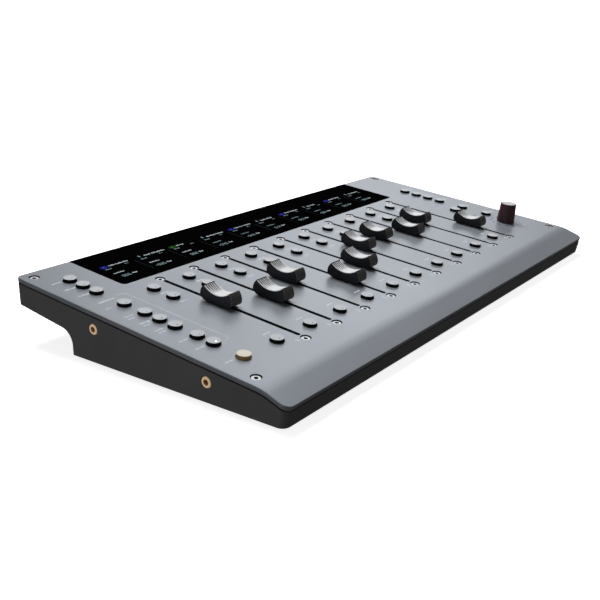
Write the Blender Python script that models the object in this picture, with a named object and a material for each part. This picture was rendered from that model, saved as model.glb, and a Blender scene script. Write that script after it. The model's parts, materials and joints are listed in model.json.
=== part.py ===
"""Desktop fader console: a tilted panel with ten motorised faders, keys, a knob and a display strip.

World frame: metres, +Z up, +X to the right of someone sitting at the console, -Y towards them.
The origin is on the table, under the middle of the console.

Everything on the panel is laid out in panel coordinates (x, s, n): x along the console, s up the
slope from the front row of fader screws, and n out of the panel's top face.
"""

import math

import bmesh
import bpy
from mathutils import Matrix, Vector

MM = 0.001
GAP = 0.3 * MM                      # clearance between pieces that would touch

# ---- case -------------------------------------------------------------------------------------
WIDTH = 430.0 * MM
DEPTH = 220.6 * MM
PANEL_TILT = math.radians(6.1)
FRONT_SCREWS_Y = -71.3 * MM         # where s = 0 meets the panel's top face
FRONT_SCREWS_Z = 22.85 * MM
PANEL_THICKNESS = 3.0 * MM
BEND_START_S = -17.0 * MM           # the panel's front bends down from here
BEND_RADIUS = 40.0 * MM
BEND_ANGLE = math.radians(14.0)
FRONT_CORNER_RADIUS = 5.0 * MM
REAR_CORNER_RADIUS = 4.0 * MM
FRONT_LEAN = 2.5 / 12.1             # how far the front face leans back for each unit down
SHADOW_GAP = 1.0 * MM               # open joint between panel and chassis
RIM_INSET = 1.5 * MM                # the chassis rim that carries the panel stands this far in
WALL = 3.0 * MM
FOOT_HEIGHT = 1.0 * MM              # chassis floor above the table
BASE_REAR_Y = 58.2 * MM             # the base ends here, and the case overhangs behind it
OVERHANG_ARC_RADIUS = 10.0 * MM
OVERHANG_RISE = math.tan(math.radians(9.1))
REAR_FACE_BOTTOM_Z = 24.1 * MM

# ---- faders -----------------------------------------------------------------------------------
FADERS = 10
FADER_PITCH = 32.65 * MM
SLOT_WIDTH = 2.9 * MM
SLOT_START_S = 4.4 * MM
SLOT_END_S = 117.1 * MM
CAP_REST_S = [67.2, 50.8, 65.6, 36.9, 48.0, 69.7, 74.2, 63.2, 74.9, 38.9]   # mm up the slope
CAP_WIDTH = 10.4 * MM
CAP_FLOOR_N = 0.5 * MM              # the cap rides this far above the panel
CAP_HORN_N = 10.6 * MM              # height of the cap's two tips
CAP_HORN_S = 10.3 * MM              # half the distance between the tips
CAP_WAIST_N = 4.4 * MM              # height of the widest point of each end
CAP_WAIST_S = 13.3 * MM
CAP_SHOULDER = (12.6 * MM, 7.6 * MM)   # (s, n) on each end, between its tip and its waist
CAP_HEEL = (12.2 * MM, 2.0 * MM)       # (s, n) on each end, between its waist and the underside
CAP_FLOOR_S = 9.6 * MM              # half the length of the flat underside
CAP_SCOOP_N = 6.9 * MM              # lowest point of the scoop
CAP_SCOOP_STEPS = 8
TANG_THICKNESS = 1.2 * MM
TANG_LENGTH = 8.0 * MM
TANG_TIP_N = -9.5 * MM
RAIL_WIDTH = 12.0 * MM
RAIL_START_S = -2.5 * MM
RAIL_END_S = 123.5 * MM
RAIL_TOP_N = -3.3 * MM
RAIL_FLOOR_N = -13.3 * MM
CHANNEL_WIDTH = 3.2 * MM
CHANNEL_FLOOR_N = -10.5 * MM
STRAP_S = [20.0 * MM, 100.0 * MM]    # two straps tie the ten rails together
STRAP_WIDTH = 12.0 * MM
STRAP_THICKNESS = 1.5 * MM
MOTOR_RADIUS = 5.5 * MM
MOTOR_SIDES = 10
MOTOR_S = 80.0 * MM
MOTOR_BOTTOM_N = -22.0 * MM

# ---- keys -------------------------------------------------------------------------------------
KEY_RADIUS = 4.35 * MM
KEY_HOLE_RADIUS = 4.6 * MM
KEY_SIDES = 10
KEY_TOP_N = 2.2 * MM
KEY_FLANGE_RADIUS = 5.8 * MM
KEY_FLANGE_TOP_N = -3.3 * MM
KEY_FLANGE_FLOOR_N = -4.4 * MM
KEY_WEB_WIDTH = 6.0 * MM
KEY_WEB_STEP = 0.1 * MM             # the web is this much thinner than the flange on each side
UPPER_KEYS_OFFSET_X = -15.6 * MM    # each channel's keys stand to the left of its fader
UPPER_KEYS_S = [93.6 * MM, 110.3 * MM]
LOWER_KEY_OFFSET_X = -16.2 * MM
LOWER_KEY_S = 9.0 * MM
LEFT_KEYS_X = -193.5 * MM
LEFT_KEYS_S = [8.8, 31.2, 43.8, 61.5, 74.1, 86.7, 104.6, 129.9, 142.6, 155.3]   # mm, front to rear
RIGHT_KEYS_X = 190.7 * MM
RIGHT_SIDE_KEY_X = 175.9 * MM
RIGHT_KEYS_S = [43.2, 67.6, 91.5, 104.2, 116.8, 129.4]                         # mm, front to rear

# ---- knob -------------------------------------------------------------------------------------
KNOB_X = 185.0 * MM
KNOB_S = 21.5 * MM
KNOB_BASE_RADIUS = 7.7 * MM
KNOB_TOP_RADIUS = 6.8 * MM
KNOB_FLOOR_N = 0.5 * MM
KNOB_TOP_N = 17.0 * MM
KNOB_RIM = 0.4 * MM
KNOB_SIDES = 24
KNOB_SHAFT_RADIUS = 3.0 * MM
KNOB_SHAFT_TIP_N = -9.0 * MM
KNOB_HOLE_RADIUS = 4.0 * MM
ENCODER_SIZE = 13.0 * MM
ENCODER_TOP_N = -3.3 * MM
ENCODER_FLOOR_N = -11.0 * MM

# ---- display ----------------------------------------------------------------------------------
GLASS_X = (-172.0 * MM, 162.3 * MM)
GLASS_FRONT_S = 128.3 * MM
GLASS_THICKNESS = 1.2 * MM
GLASS_REAR_SETBACK = 0.2 * MM       # from the panel's rear edge
GLASS_CORNER_RADIUS = 3.0 * MM
WINDOW_MARGIN = 5.0 * MM
WINDOW_REAR_MARGIN = 7.0 * MM
MODULE_THICKNESS = 6.0 * MM

# ---- circuit board ----------------------------------------------------------------------------
BOARD_TOP_N = -7.6 * MM
BOARD_THICKNESS = 1.6 * MM
BOARD_HALF_WIDTH = 205.0 * MM
BOARD_FRONT_S = -9.0 * MM
BOARD_REAR_S = 129.8 * MM
BOARD_TAB_REAR_S = 163.0 * MM       # the left end reaches up beside the display
BOARD_TAB_X = -180.0 * MM
BOARD_RIGHT_REAR_S = 133.0 * MM     # and the right end carries the rearmost right key
BOARD_RIGHT_TAB_X = 167.0 * MM
BOARD_CLEARANCE = 1.0 * MM
SWITCH_SIZE = 4.0 * MM
SWITCH_TOP_N = -6.0 * MM

# ---- side inserts, feet and rear connectors -----------------------------------------------------
INSERT_YZ = [(-53.4 * MM, 13.2 * MM), (37.9 * MM, 22.7 * MM)]   # front, rear
INSERT_RADIUS = 3.35 * MM
INSERT_HOLE_RADIUS = 1.8 * MM
BORE_SIDES = 12                     # of the inserts, the power inlet and the encoder's bore
INSERT_BORE_DEPTH = 8.0 * MM
NUT_BAR_THICKNESS = 5.0 * MM
NUT_BAR_HEIGHT = 7.0 * MM
NUT_BAR_OVERRUN = 6.0 * MM
FOOT_Y = {"front": -94.0 * MM, "rear": 44.0 * MM}
FOOT_LENGTH = 380.0 * MM
FOOT_WIDTH = 9.0 * MM
FOOT_THICKNESS = 2.0 * MM
BLOCK_HALF_WIDTH = 45.0 * MM
BLOCK_Y = (42.5 * MM, 60.5 * MM)
BLOCK_Z = (4.6 * MM, 15.2 * MM)
POWER_INLET_X = -25.0 * MM
POWER_INLET_RADIUS = 3.2 * MM
POWER_PIN_RADIUS = 1.0 * MM
POWER_PIN_SETBACK = 1.0 * MM
DATA_SOCKET_X = 15.0 * MM
DATA_SOCKET_SIZE = (9.0 * MM, 3.2 * MM)
SOCKET_DEPTH = 9.0 * MM

OVERRUN = 5.0 * MM                  # how far a cutter reaches past what it cuts
OVERLAP = 1.0 * MM                  # how far a body reaches into the one it is joined to

PANEL = (Matrix.Translation((0.0, FRONT_SCREWS_Y, FRONT_SCREWS_Z))
         @ Matrix.Rotation(PANEL_TILT, 4, "X"))
REAR_S = (DEPTH / 2 - FRONT_SCREWS_Y) / math.cos(PANEL_TILT)


# ---- scene and materials ------------------------------------------------------------------------
def clear_scene():
    for obj in list(bpy.data.objects):
        bpy.data.objects.remove(obj, do_unlink=True)


def make_material(name, color, roughness, metallic=0.0):
    material = bpy.data.materials.new(name)
    material.use_nodes = True
    shader = material.node_tree.nodes["Principled BSDF"]
    shader.inputs["Base Color"].default_value = (*color, 1.0)
    shader.inputs["Roughness"].default_value = roughness
    shader.inputs["Metallic"].default_value = metallic
    return material


def make_materials():
    return {
        "panel": make_material("satin_grey_paint", (0.36, 0.38, 0.41), 0.38, 0.6),
        "chassis": make_material("charcoal_paint", (0.035, 0.035, 0.037), 0.5),
        "cap": make_material("cap_plastic", (0.02, 0.02, 0.022), 0.55),
        "knob": make_material("knob_rubber", (0.02, 0.012, 0.014), 0.6),
        "key": make_material("key_plastic", (0.33, 0.35, 0.38), 0.5),
        "glass": make_material("black_glass", (0.004, 0.004, 0.005), 0.05),
        "display": make_material("display_frame", (0.02, 0.02, 0.02), 0.6),
        "board": make_material("solder_mask", (0.01, 0.10, 0.04), 0.4),
        "steel": make_material("zinc_plated_steel", (0.55, 0.55, 0.53), 0.35, 1.0),
        "brass": make_material("turned_brass", (0.70, 0.50, 0.28), 0.3, 1.0),
        "rubber": make_material("foot_rubber", (0.015, 0.015, 0.015), 0.9),
        "connector": make_material("connector_plastic", (0.012, 0.012, 0.012), 0.5),
    }


# ---- building blocks ------------------------------------------------------------------------------
def make_object(name, mesh_builder, material=None, matrix=None):
    """A new object whose mesh comes from a bmesh; its faces are turned outwards."""
    bm = mesh_builder
    bmesh.ops.recalc_face_normals(bm, faces=bm.faces)
    mesh = bpy.data.meshes.new(name)
    bm.to_mesh(mesh)
    bm.free()
    obj = bpy.data.objects.new(name, mesh)
    bpy.context.scene.collection.objects.link(obj)
    if material:
        mesh.materials.append(material)
    if matrix:
        obj.matrix_world = matrix
    return obj


def as_cutter(obj):
    obj.hide_render = True
    obj.display_type = "WIRE"
    return obj


def add_boolean(obj, other, operation):
    modifier = obj.modifiers.new(operation.lower(), "BOOLEAN")
    modifier.object = other
    modifier.operation = operation
    modifier.solver = "EXACT"


def add_prism(bm, outline, offset):
    """Extrude a closed outline of 3D points by an offset vector, as a closed body."""
    lower = [bm.verts.new(p) for p in outline]
    upper = [bm.verts.new(Vector(p) + Vector(offset)) for p in outline]
    bm.faces.new(lower)
    bm.faces.new(reversed(upper))
    for i in range(len(outline)):
        j = (i + 1) % len(outline)
        bm.faces.new((lower[i], upper[i], upper[j], lower[j]))


def add_box(bm, low, high):
    outline = [(low[0], low[1], low[2]), (high[0], low[1], low[2]),
               (high[0], high[1], low[2]), (low[0], high[1], low[2])]
    add_prism(bm, outline, (0.0, 0.0, high[2] - low[2]))


def circle(radius, sides, x=0.0, y=0.0, z=0.0):
    turn = 2 * math.pi / sides
    return [(x + radius * math.cos(turn * (i + 0.5)), y + radius * math.sin(turn * (i + 0.5)), z)
            for i in range(sides)]


def add_turned(bm, rings, sides, x=0.0, y=0.0):
    """A closed round body from (radius, height) rings, bottom to top."""
    loops = [[bm.verts.new(p) for p in circle(radius, sides, x, y, height)]
             for radius, height in rings]
    bm.faces.new(loops[0])
    bm.faces.new(reversed(loops[-1]))
    for below, above in zip(loops, loops[1:]):
        for i in range(sides):
            j = (i + 1) % sides
            bm.faces.new((below[i], above[i], above[j], below[j]))


def shade_round(obj):
    obj.data.shade_smooth()
    obj.data.set_sharp_from_angle(angle=math.radians(30))


def arc(centre, radius, start, end, steps):
    """Points on an arc from one angle to another, in degrees, both ends included."""
    turn = (end - start) / steps
    angles = [math.radians(start + turn * i) for i in range(steps + 1)]
    return [(centre[0] + radius * math.cos(a), centre[1] + radius * math.sin(a)) for a in angles]


def fader_x(index):
    return (index - (FADERS - 1) / 2) * FADER_PITCH


# ---- the case's side profile -------------------------------------------------------------------
def panel_line(drop):
    """The panel's top face seen from the side, rear to front, lowered by a distance along its normal."""
    points = [(REAR_S, -drop), (BEND_START_S, -drop)]
    steps = 4
    for i in range(1, steps + 1):
        angle = BEND_ANGLE * i / steps
        points.append((BEND_START_S - (BEND_RADIUS - drop) * math.sin(angle),
                       -drop - (BEND_RADIUS - drop) * (1 - math.cos(angle))))
    world = [PANEL @ Vector((0.0, s, n)) for s, n in points]
    line = [(p.y, p.z) for p in world]
    line[0] = (DEPTH / 2, line[0][1] + (DEPTH / 2 - line[0][0]) * math.tan(PANEL_TILT))
    # straight run down to the leaning front face
    slope = math.tan(PANEL_TILT + BEND_ANGLE)
    y, z = line[-1]
    front_top = -DEPTH / 2
    front_z = panel_front_z()
    run = (y - front_top - (front_z - z) * FRONT_LEAN) / (1 - slope * FRONT_LEAN)
    line.append((y - run, z - run * slope))
    return line


def panel_front_z():
    """Height of the panel's top face at its front edge."""
    angle = PANEL_TILT + BEND_ANGLE
    bend = Vector((0.0, BEND_START_S - BEND_RADIUS * math.sin(BEND_ANGLE),
                   -BEND_RADIUS * (1 - math.cos(BEND_ANGLE))))
    end = PANEL @ bend
    return end.z - (end.y + DEPTH / 2) * math.tan(angle)


def front_y(z):
    """The leaning front face at a height."""
    return -DEPTH / 2 + (panel_front_z() - z) * FRONT_LEAN


def chassis_profile(drop, inset):
    """Side outline of the chassis: its top drops below the panel, its walls are set in."""
    top = panel_line(drop)
    rear = DEPTH / 2 - inset
    top[0] = (rear, top[0][1] - inset * math.tan(PANEL_TILT))
    top[-1] = (top[-1][0] + inset, top[-1][1] + inset * math.tan(PANEL_TILT + BEND_ANGLE))
    floor = FOOT_HEIGHT + inset
    underside = REAR_FACE_BOTTOM_Z + inset
    base_rear = BASE_REAR_Y - inset
    radius = OVERHANG_ARC_RADIUS + inset
    arc_z = underside - (rear - base_rear - radius) * OVERHANG_RISE - radius
    hollow = arc((base_rear + radius, arc_z), radius, 180, 95, 4)
    front = (front_y(floor) + inset, floor)
    return top + [front, (base_rear, floor)] + hollow + [(rear, underside)]


def extrude_profile(profile, half_width):
    bm = bmesh.new()
    outline = [(-half_width, y, z) for y, z in profile]
    add_prism(bm, outline, (2 * half_width, 0.0, 0.0))
    return bm


def plan_outline(inset, front):
    """The case's plan, a rectangle with rounded corners, with its front edge at y = front."""
    half_x = WIDTH / 2 - inset
    back = DEPTH / 2 - inset
    near = FRONT_CORNER_RADIUS - inset
    far = REAR_CORNER_RADIUS - inset
    return (arc((half_x - far, back - far), far, 0, 90, 3)
            + arc((-half_x + far, back - far), far, 90, 180, 3)
            + arc((-half_x + near, front + near), near, 180, 270, 4)
            + arc((half_x - near, front + near), near, 270, 360, 4))


def plan_prism(name):
    """The case's plan as a tall upright prism that trims the panel."""
    bm = bmesh.new()
    add_prism(bm, [(x, y, -OVERRUN) for x, y in plan_outline(0.0, -DEPTH / 2)], (0.0, 0.0, WIDTH / 4))
    return as_cutter(make_object(name, bm))


def leaning_plan(name, inset):
    """The case's plan as a tall body that trims the chassis, its front corners leaning with the wall."""
    bm = bmesh.new()
    rings = []
    for z in (-OVERRUN, WIDTH / 4):
        outline = plan_outline(inset, front_y(z) + inset)
        rings.append([bm.verts.new((x, y, z)) for x, y in outline])
    low, high = rings
    bm.faces.new(low[::-1])
    bm.faces.new(high)
    for i, corner in enumerate(low):
        bm.faces.new((low[i - 1], corner, high[i], high[i - 1]))
    return as_cutter(make_object(name, bm))


# ---- top panel and display ------------------------------------------------------------------------
def key_positions():
    """Every key's name, with the (x, s) of each of its discs."""
    keys = []
    for i in range(FADERS):
        upper_x = fader_x(i) + UPPER_KEYS_OFFSET_X
        lower_x = fader_x(i) + LOWER_KEY_OFFSET_X
        keys.append((f"upper_keys_{i + 1:02d}", [(upper_x, s) for s in UPPER_KEYS_S]))
        keys.append((f"lower_key_{i + 1:02d}", [(lower_x, LOWER_KEY_S)]))
    for i, s in enumerate(LEFT_KEYS_S):
        keys.append((f"left_key_{i + 1:02d}", [(LEFT_KEYS_X, s * MM)]))
    right = [(RIGHT_KEYS_X, s * MM) for s in RIGHT_KEYS_S]
    right.insert(1, (RIGHT_SIDE_KEY_X, right[1][1]))
    for i, place in enumerate(right):
        keys.append((f"right_key_{i + 1:02d}", [place]))
    return keys


def panel_cutter():
    """All the panel's holes: keys, slots, the knob's shaft, the glass recess and its window."""
    bm = bmesh.new()
    low = -PANEL_THICKNESS - OVERRUN
    high = OVERRUN
    for _, discs in key_positions():
        for x, s in discs:
            add_prism(bm, circle(KEY_HOLE_RADIUS, KEY_SIDES, x, s, low), (0, 0, high - low))
    for i in range(FADERS):
        x = fader_x(i)
        add_box(bm, (x - SLOT_WIDTH / 2, SLOT_START_S, low), (x + SLOT_WIDTH / 2, SLOT_END_S, high))
    add_prism(bm, circle(KNOB_HOLE_RADIUS, KEY_SIDES, KNOB_X, KNOB_S, low), (0, 0, high - low))
    return as_cutter(make_object("panel_holes", bm, matrix=PANEL))


def display_cutters():
    recess = bmesh.new()
    add_box(recess, (GLASS_X[0] - GAP, GLASS_FRONT_S - GAP, -GLASS_THICKNESS - GAP),
            (GLASS_X[1] + GAP, REAR_S + OVERRUN, OVERRUN))
    window = bmesh.new()
    add_box(window, (GLASS_X[0] + WINDOW_MARGIN, GLASS_FRONT_S + WINDOW_MARGIN, -2 * OVERRUN),
            (GLASS_X[1] - WINDOW_MARGIN, REAR_S - WINDOW_REAR_MARGIN, OVERRUN))
    return [as_cutter(make_object("glass_recess", recess, matrix=PANEL)),
            as_cutter(make_object("display_window", window, matrix=PANEL))]


def make_top_panel(material):
    upper = panel_line(0.0)
    lower = panel_line(PANEL_THICKNESS)
    panel = make_object("top_panel", extrude_profile(upper + lower[::-1], WIDTH / 2), material)
    add_boolean(panel, plan_prism("panel_plan"), "INTERSECT")
    for cutter in [panel_cutter()] + display_cutters():
        add_boolean(panel, cutter, "DIFFERENCE")


def make_display(materials):
    glass = bmesh.new()
    left, right = GLASS_X
    front = GLASS_FRONT_S
    rear = REAR_S - GLASS_REAR_SETBACK
    radius = GLASS_CORNER_RADIUS
    outline = (arc((left + radius, front + radius), radius, 180, 270, 4)
               + arc((right - radius, front + radius), radius, 270, 360, 4)
               + [(right, rear), (left, rear)])
    add_prism(glass, [(x, s, -GLASS_THICKNESS) for x, s in outline], (0, 0, GLASS_THICKNESS))
    make_object("display_glass", glass, materials["glass"], PANEL)

    module = bmesh.new()
    top = -GLASS_THICKNESS - 2 * GAP
    shelf = -PANEL_THICKNESS - GAP
    inner = WINDOW_MARGIN + GAP
    add_box(module, (left + WINDOW_MARGIN / 2, front + WINDOW_MARGIN / 2, shelf - MODULE_THICKNESS),
            (right - WINDOW_MARGIN / 2, REAR_S - WINDOW_REAR_MARGIN, shelf))
    module_obj = make_object("display_module", module, materials["display"], PANEL)
    screen = bmesh.new()
    add_box(screen, (left + inner, front + inner, shelf - MODULE_THICKNESS / 2),
            (right - inner, REAR_S - WINDOW_REAR_MARGIN - GAP, top))
    add_boolean(module_obj, as_cutter(make_object("display_screen", screen, matrix=PANEL)), "UNION")


# ---- chassis, feet, inserts and connectors --------------------------------------------------------
def insert_bores():
    bm = bmesh.new()
    for side in (-1, 1):
        for y, z in INSERT_YZ:
            ring = circle(INSERT_RADIUS + GAP, BORE_SIDES)
            outline = [(side * (WIDTH / 2 + OVERRUN), y + a, z + b) for a, b, _ in ring]
            add_prism(bm, outline, (-side * (WALL + 2 * OVERRUN), 0, 0))
    return as_cutter(make_object("insert_bores", bm))


def foot_grooves():
    bm = bmesh.new()
    for y in FOOT_Y.values():
        add_box(bm, (-FOOT_LENGTH / 2 - GAP, y - FOOT_WIDTH / 2 - GAP, -OVERRUN),
                (FOOT_LENGTH / 2 + GAP, y + FOOT_WIDTH / 2 + GAP, FOOT_THICKNESS + GAP))
    return as_cutter(make_object("foot_grooves", bm))


def make_chassis(material):
    chassis = make_object("base_chassis",
                          extrude_profile(chassis_profile(PANEL_THICKNESS + SHADOW_GAP, 0.0), WIDTH / 2),
                          material)
    add_boolean(chassis, leaning_plan("chassis_plan", 0.0), "INTERSECT")
    rim = as_cutter(make_object("chassis_rim",
                                extrude_profile(chassis_profile(PANEL_THICKNESS + GAP, RIM_INSET),
                                                WIDTH / 2 - RIM_INSET)))
    add_boolean(rim, leaning_plan("rim_plan", RIM_INSET), "INTERSECT")
    add_boolean(chassis, rim, "UNION")
    inside = chassis_profile(PANEL_THICKNESS - OVERRUN, WALL)
    hollow = as_cutter(make_object("chassis_hollow", extrude_profile(inside, WIDTH / 2 - WALL)))
    add_boolean(hollow, leaning_plan("hollow_plan", WALL), "INTERSECT")
    add_boolean(chassis, hollow, "DIFFERENCE")
    add_boolean(chassis, insert_bores(), "DIFFERENCE")
    add_boolean(chassis, foot_grooves(), "DIFFERENCE")
    pocket = bmesh.new()
    add_box(pocket, (-BLOCK_HALF_WIDTH - GAP, BLOCK_Y[0], BLOCK_Z[0] - GAP),
            (BLOCK_HALF_WIDTH + GAP, BASE_REAR_Y + OVERHANG_ARC_RADIUS, BLOCK_Z[1] + GAP))
    add_boolean(chassis, as_cutter(make_object("connector_pocket", pocket)), "DIFFERENCE")


def make_feet(material):
    for name, y in FOOT_Y.items():
        bm = bmesh.new()
        add_box(bm, (-FOOT_LENGTH / 2, y - FOOT_WIDTH / 2, 0.0),
                (FOOT_LENGTH / 2, y + FOOT_WIDTH / 2, FOOT_THICKNESS))
        make_object(f"{name}_foot_strip", bm, material)


def make_side_inserts(side, name, material):
    """Two threaded brass bosses that come out through the side wall, on one nut bar inside it."""
    (front_y_, front_z), (rear_y, rear_z) = INSERT_YZ
    along = Vector((0.0, rear_y - front_y_, rear_z - front_z)).normalized()
    across = Vector((0.0, -along.z, along.y)) * NUT_BAR_HEIGHT / 2
    inner = side * (WIDTH / 2 - WALL - GAP)
    front = Vector((inner, front_y_, front_z)) - along * NUT_BAR_OVERRUN
    rear = Vector((inner, rear_y, rear_z)) + along * NUT_BAR_OVERRUN
    bar = bmesh.new()
    add_prism(bar, [front - across, rear - across, rear + across, front + across],
              (-side * NUT_BAR_THICKNESS, 0, 0))
    bar_obj = make_object(name, bar, material)
    bosses = bmesh.new()
    bores = bmesh.new()
    for y, z in INSERT_YZ:
        boss = [(inner - side * NUT_BAR_THICKNESS / 2, y + a, z + b)
                for a, b, _ in circle(INSERT_RADIUS, BORE_SIDES)]
        add_prism(bosses, boss, (side * (NUT_BAR_THICKNESS / 2 + WALL + GAP), 0, 0))
        bore = [(side * (WIDTH / 2 + OVERRUN), y + a, z + b)
                for a, b, _ in circle(INSERT_HOLE_RADIUS, BORE_SIDES)]
        add_prism(bores, bore, (-side * (INSERT_BORE_DEPTH + OVERRUN), 0, 0))
    add_boolean(bar_obj, as_cutter(make_object(f"{name}_bosses", bosses)), "UNION")
    add_boolean(bar_obj, as_cutter(make_object(f"{name}_bores", bores)), "DIFFERENCE")


def make_rear_connectors(material):
    """The power inlet and the data socket, in one block that fills the pocket in the rear wall."""
    low, high = BLOCK_Z
    middle = (low + high) / 2
    face = BLOCK_Y[1]
    bm = bmesh.new()
    add_box(bm, (-BLOCK_HALF_WIDTH, BLOCK_Y[0] + GAP, low), (BLOCK_HALF_WIDTH, face, high))
    block = make_object("rear_connector_block", bm, material)
    sockets = bmesh.new()
    width, height = DATA_SOCKET_SIZE
    add_box(sockets, (DATA_SOCKET_X - width / 2, face - SOCKET_DEPTH, middle - height / 2),
            (DATA_SOCKET_X + width / 2, face + OVERRUN, middle + height / 2))
    inlet = [(POWER_INLET_X + a, face + OVERRUN, middle + b)
             for a, b, _ in circle(POWER_INLET_RADIUS, BORE_SIDES)]
    add_prism(sockets, inlet, (0, -SOCKET_DEPTH - OVERRUN, 0))
    add_boolean(block, as_cutter(make_object("sockets", sockets)), "DIFFERENCE")
    pin = bmesh.new()
    outline = [(POWER_INLET_X + a, face - POWER_PIN_SETBACK, middle + b)
               for a, b, _ in circle(POWER_PIN_RADIUS, BORE_SIDES)]
    add_prism(pin, outline, (0, POWER_PIN_SETBACK - SOCKET_DEPTH - OVERLAP, 0))
    add_boolean(block, as_cutter(make_object("power_pin", pin)), "UNION")


# ---- inside the case ------------------------------------------------------------------------------
def make_fader_bank(material):
    """Ten rails with a channel for each lever, tied by two straps, each with its motor below."""
    bm = bmesh.new()
    half = (FADERS - 1) / 2 * FADER_PITCH + RAIL_WIDTH / 2
    strap_low = RAIL_FLOOR_N - STRAP_THICKNESS / 2
    s = STRAP_S[0]
    add_box(bm, (-half, s - STRAP_WIDTH / 2, strap_low),
            (half, s + STRAP_WIDTH / 2, strap_low + STRAP_THICKNESS))
    bank = make_object("fader_bank", bm, material, PANEL)

    rails = bmesh.new()
    channels = bmesh.new()
    motors = bmesh.new()
    for i in range(FADERS):
        x = fader_x(i)
        add_box(rails, (x - RAIL_WIDTH / 2, RAIL_START_S, RAIL_FLOOR_N),
                (x + RAIL_WIDTH / 2, RAIL_END_S, RAIL_TOP_N))
        add_box(channels, (x - CHANNEL_WIDTH / 2, SLOT_START_S, CHANNEL_FLOOR_N),
                (x + CHANNEL_WIDTH / 2, SLOT_END_S, OVERRUN))
        add_prism(motors, circle(MOTOR_RADIUS, MOTOR_SIDES, x, MOTOR_S, MOTOR_BOTTOM_N),
                  (0, 0, RAIL_FLOOR_N + OVERLAP - MOTOR_BOTTOM_N))
    add_boolean(bank, as_cutter(make_object("rails", rails, matrix=PANEL)), "UNION")
    rear_strap = bmesh.new()
    s = STRAP_S[1]
    add_box(rear_strap, (-half, s - STRAP_WIDTH / 2, strap_low),
            (half, s + STRAP_WIDTH / 2, strap_low + STRAP_THICKNESS))
    add_boolean(bank, as_cutter(make_object("rear_strap", rear_strap, matrix=PANEL)), "UNION")
    add_boolean(bank, as_cutter(make_object("motors", motors, matrix=PANEL)), "UNION")
    add_boolean(bank, as_cutter(make_object("lever_channels", channels, matrix=PANEL)), "DIFFERENCE")


def make_circuit_board(material):
    """One board under the panel, cut out around the rails and the encoder, with a switch per key."""
    floor = BOARD_TOP_N - BOARD_THICKNESS
    half = BOARD_HALF_WIDTH
    outline = [(-half, BOARD_FRONT_S), (half, BOARD_FRONT_S), (half, BOARD_RIGHT_REAR_S),
               (BOARD_RIGHT_TAB_X, BOARD_RIGHT_REAR_S), (BOARD_RIGHT_TAB_X, BOARD_REAR_S),
               (BOARD_TAB_X, BOARD_REAR_S), (BOARD_TAB_X, BOARD_TAB_REAR_S), (-half, BOARD_TAB_REAR_S)]
    bm = bmesh.new()
    add_prism(bm, [(x, s, floor) for x, s in outline], (0, 0, BOARD_THICKNESS))
    board = make_object("main_circuit_board", bm, material, PANEL)

    openings = bmesh.new()
    for i in range(FADERS):
        x = fader_x(i)
        reach = RAIL_WIDTH / 2 + BOARD_CLEARANCE
        add_box(openings, (x - reach, RAIL_START_S - BOARD_CLEARANCE, floor - OVERRUN),
                (x + reach, RAIL_END_S + BOARD_CLEARANCE, OVERRUN))
    reach = ENCODER_SIZE / 2 + BOARD_CLEARANCE
    add_box(openings, (KNOB_X - reach, KNOB_S - reach, floor - OVERRUN),
            (KNOB_X + reach, KNOB_S + reach, OVERRUN))
    add_boolean(board, as_cutter(make_object("board_openings", openings, matrix=PANEL)), "DIFFERENCE")

    switches = bmesh.new()
    for _, discs in key_positions():
        for x, s in discs:
            add_box(switches, (x - SWITCH_SIZE / 2, s - SWITCH_SIZE / 2, BOARD_TOP_N - BOARD_THICKNESS / 2),
                    (x + SWITCH_SIZE / 2, s + SWITCH_SIZE / 2, SWITCH_TOP_N))
    add_boolean(board, as_cutter(make_object("key_switches", switches, matrix=PANEL)), "UNION")


def make_encoder(material):
    reach = ENCODER_SIZE / 2
    bm = bmesh.new()
    add_box(bm, (KNOB_X - reach, KNOB_S - reach, ENCODER_FLOOR_N),
            (KNOB_X + reach, KNOB_S + reach, ENCODER_TOP_N))
    encoder = make_object("knob_encoder", bm, material, PANEL)
    bore = bmesh.new()
    add_prism(bore, circle(KNOB_SHAFT_RADIUS + 2 * GAP, BORE_SIDES, KNOB_X, KNOB_S, KNOB_SHAFT_TIP_N - GAP),
              (0, 0, OVERRUN - KNOB_SHAFT_TIP_N))
    add_boolean(encoder, as_cutter(make_object("encoder_bore", bore, matrix=PANEL)), "DIFFERENCE")


# ---- moving pieces --------------------------------------------------------------------------------
def cap_outline():
    """Side outline of a fader cap, centred on its lever: bulging ends and a scooped top."""
    half_chord = CAP_HORN_S
    sag = CAP_HORN_N - CAP_SCOOP_N
    radius = (half_chord ** 2 + sag ** 2) / (2 * sag)
    reach = math.degrees(math.asin(half_chord / radius))
    scoop = arc((0.0, CAP_SCOOP_N + radius), radius, 270 - reach, 270 + reach, CAP_SCOOP_STEPS)
    end = [CAP_SHOULDER, (CAP_WAIST_S, CAP_WAIST_N), CAP_HEEL, (CAP_FLOOR_S, CAP_FLOOR_N)]
    return scoop + end + [(-s, n) for s, n in reversed(end)]


def make_fader_cap(index, material):
    """A fader cap with the flat lever that hangs from it down through the slot."""
    rest = Matrix.Translation((fader_x(index), CAP_REST_S[index] * MM, 0.0))
    bm = bmesh.new()
    add_prism(bm, [(-CAP_WIDTH / 2, s, n) for s, n in cap_outline()], (CAP_WIDTH, 0, 0))
    name = f"fader_cap_{index + 1:02d}"
    cap = make_object(name, bm, material, PANEL @ rest)
    lever = bmesh.new()
    add_box(lever, (-TANG_THICKNESS / 2, -TANG_LENGTH / 2, TANG_TIP_N),
            (TANG_THICKNESS / 2, TANG_LENGTH / 2, CAP_FLOOR_N + OVERLAP))
    lever_obj = make_object(f"lever_{index + 1:02d}", lever, matrix=PANEL @ rest)
    add_boolean(cap, as_cutter(lever_obj), "UNION")


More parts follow.
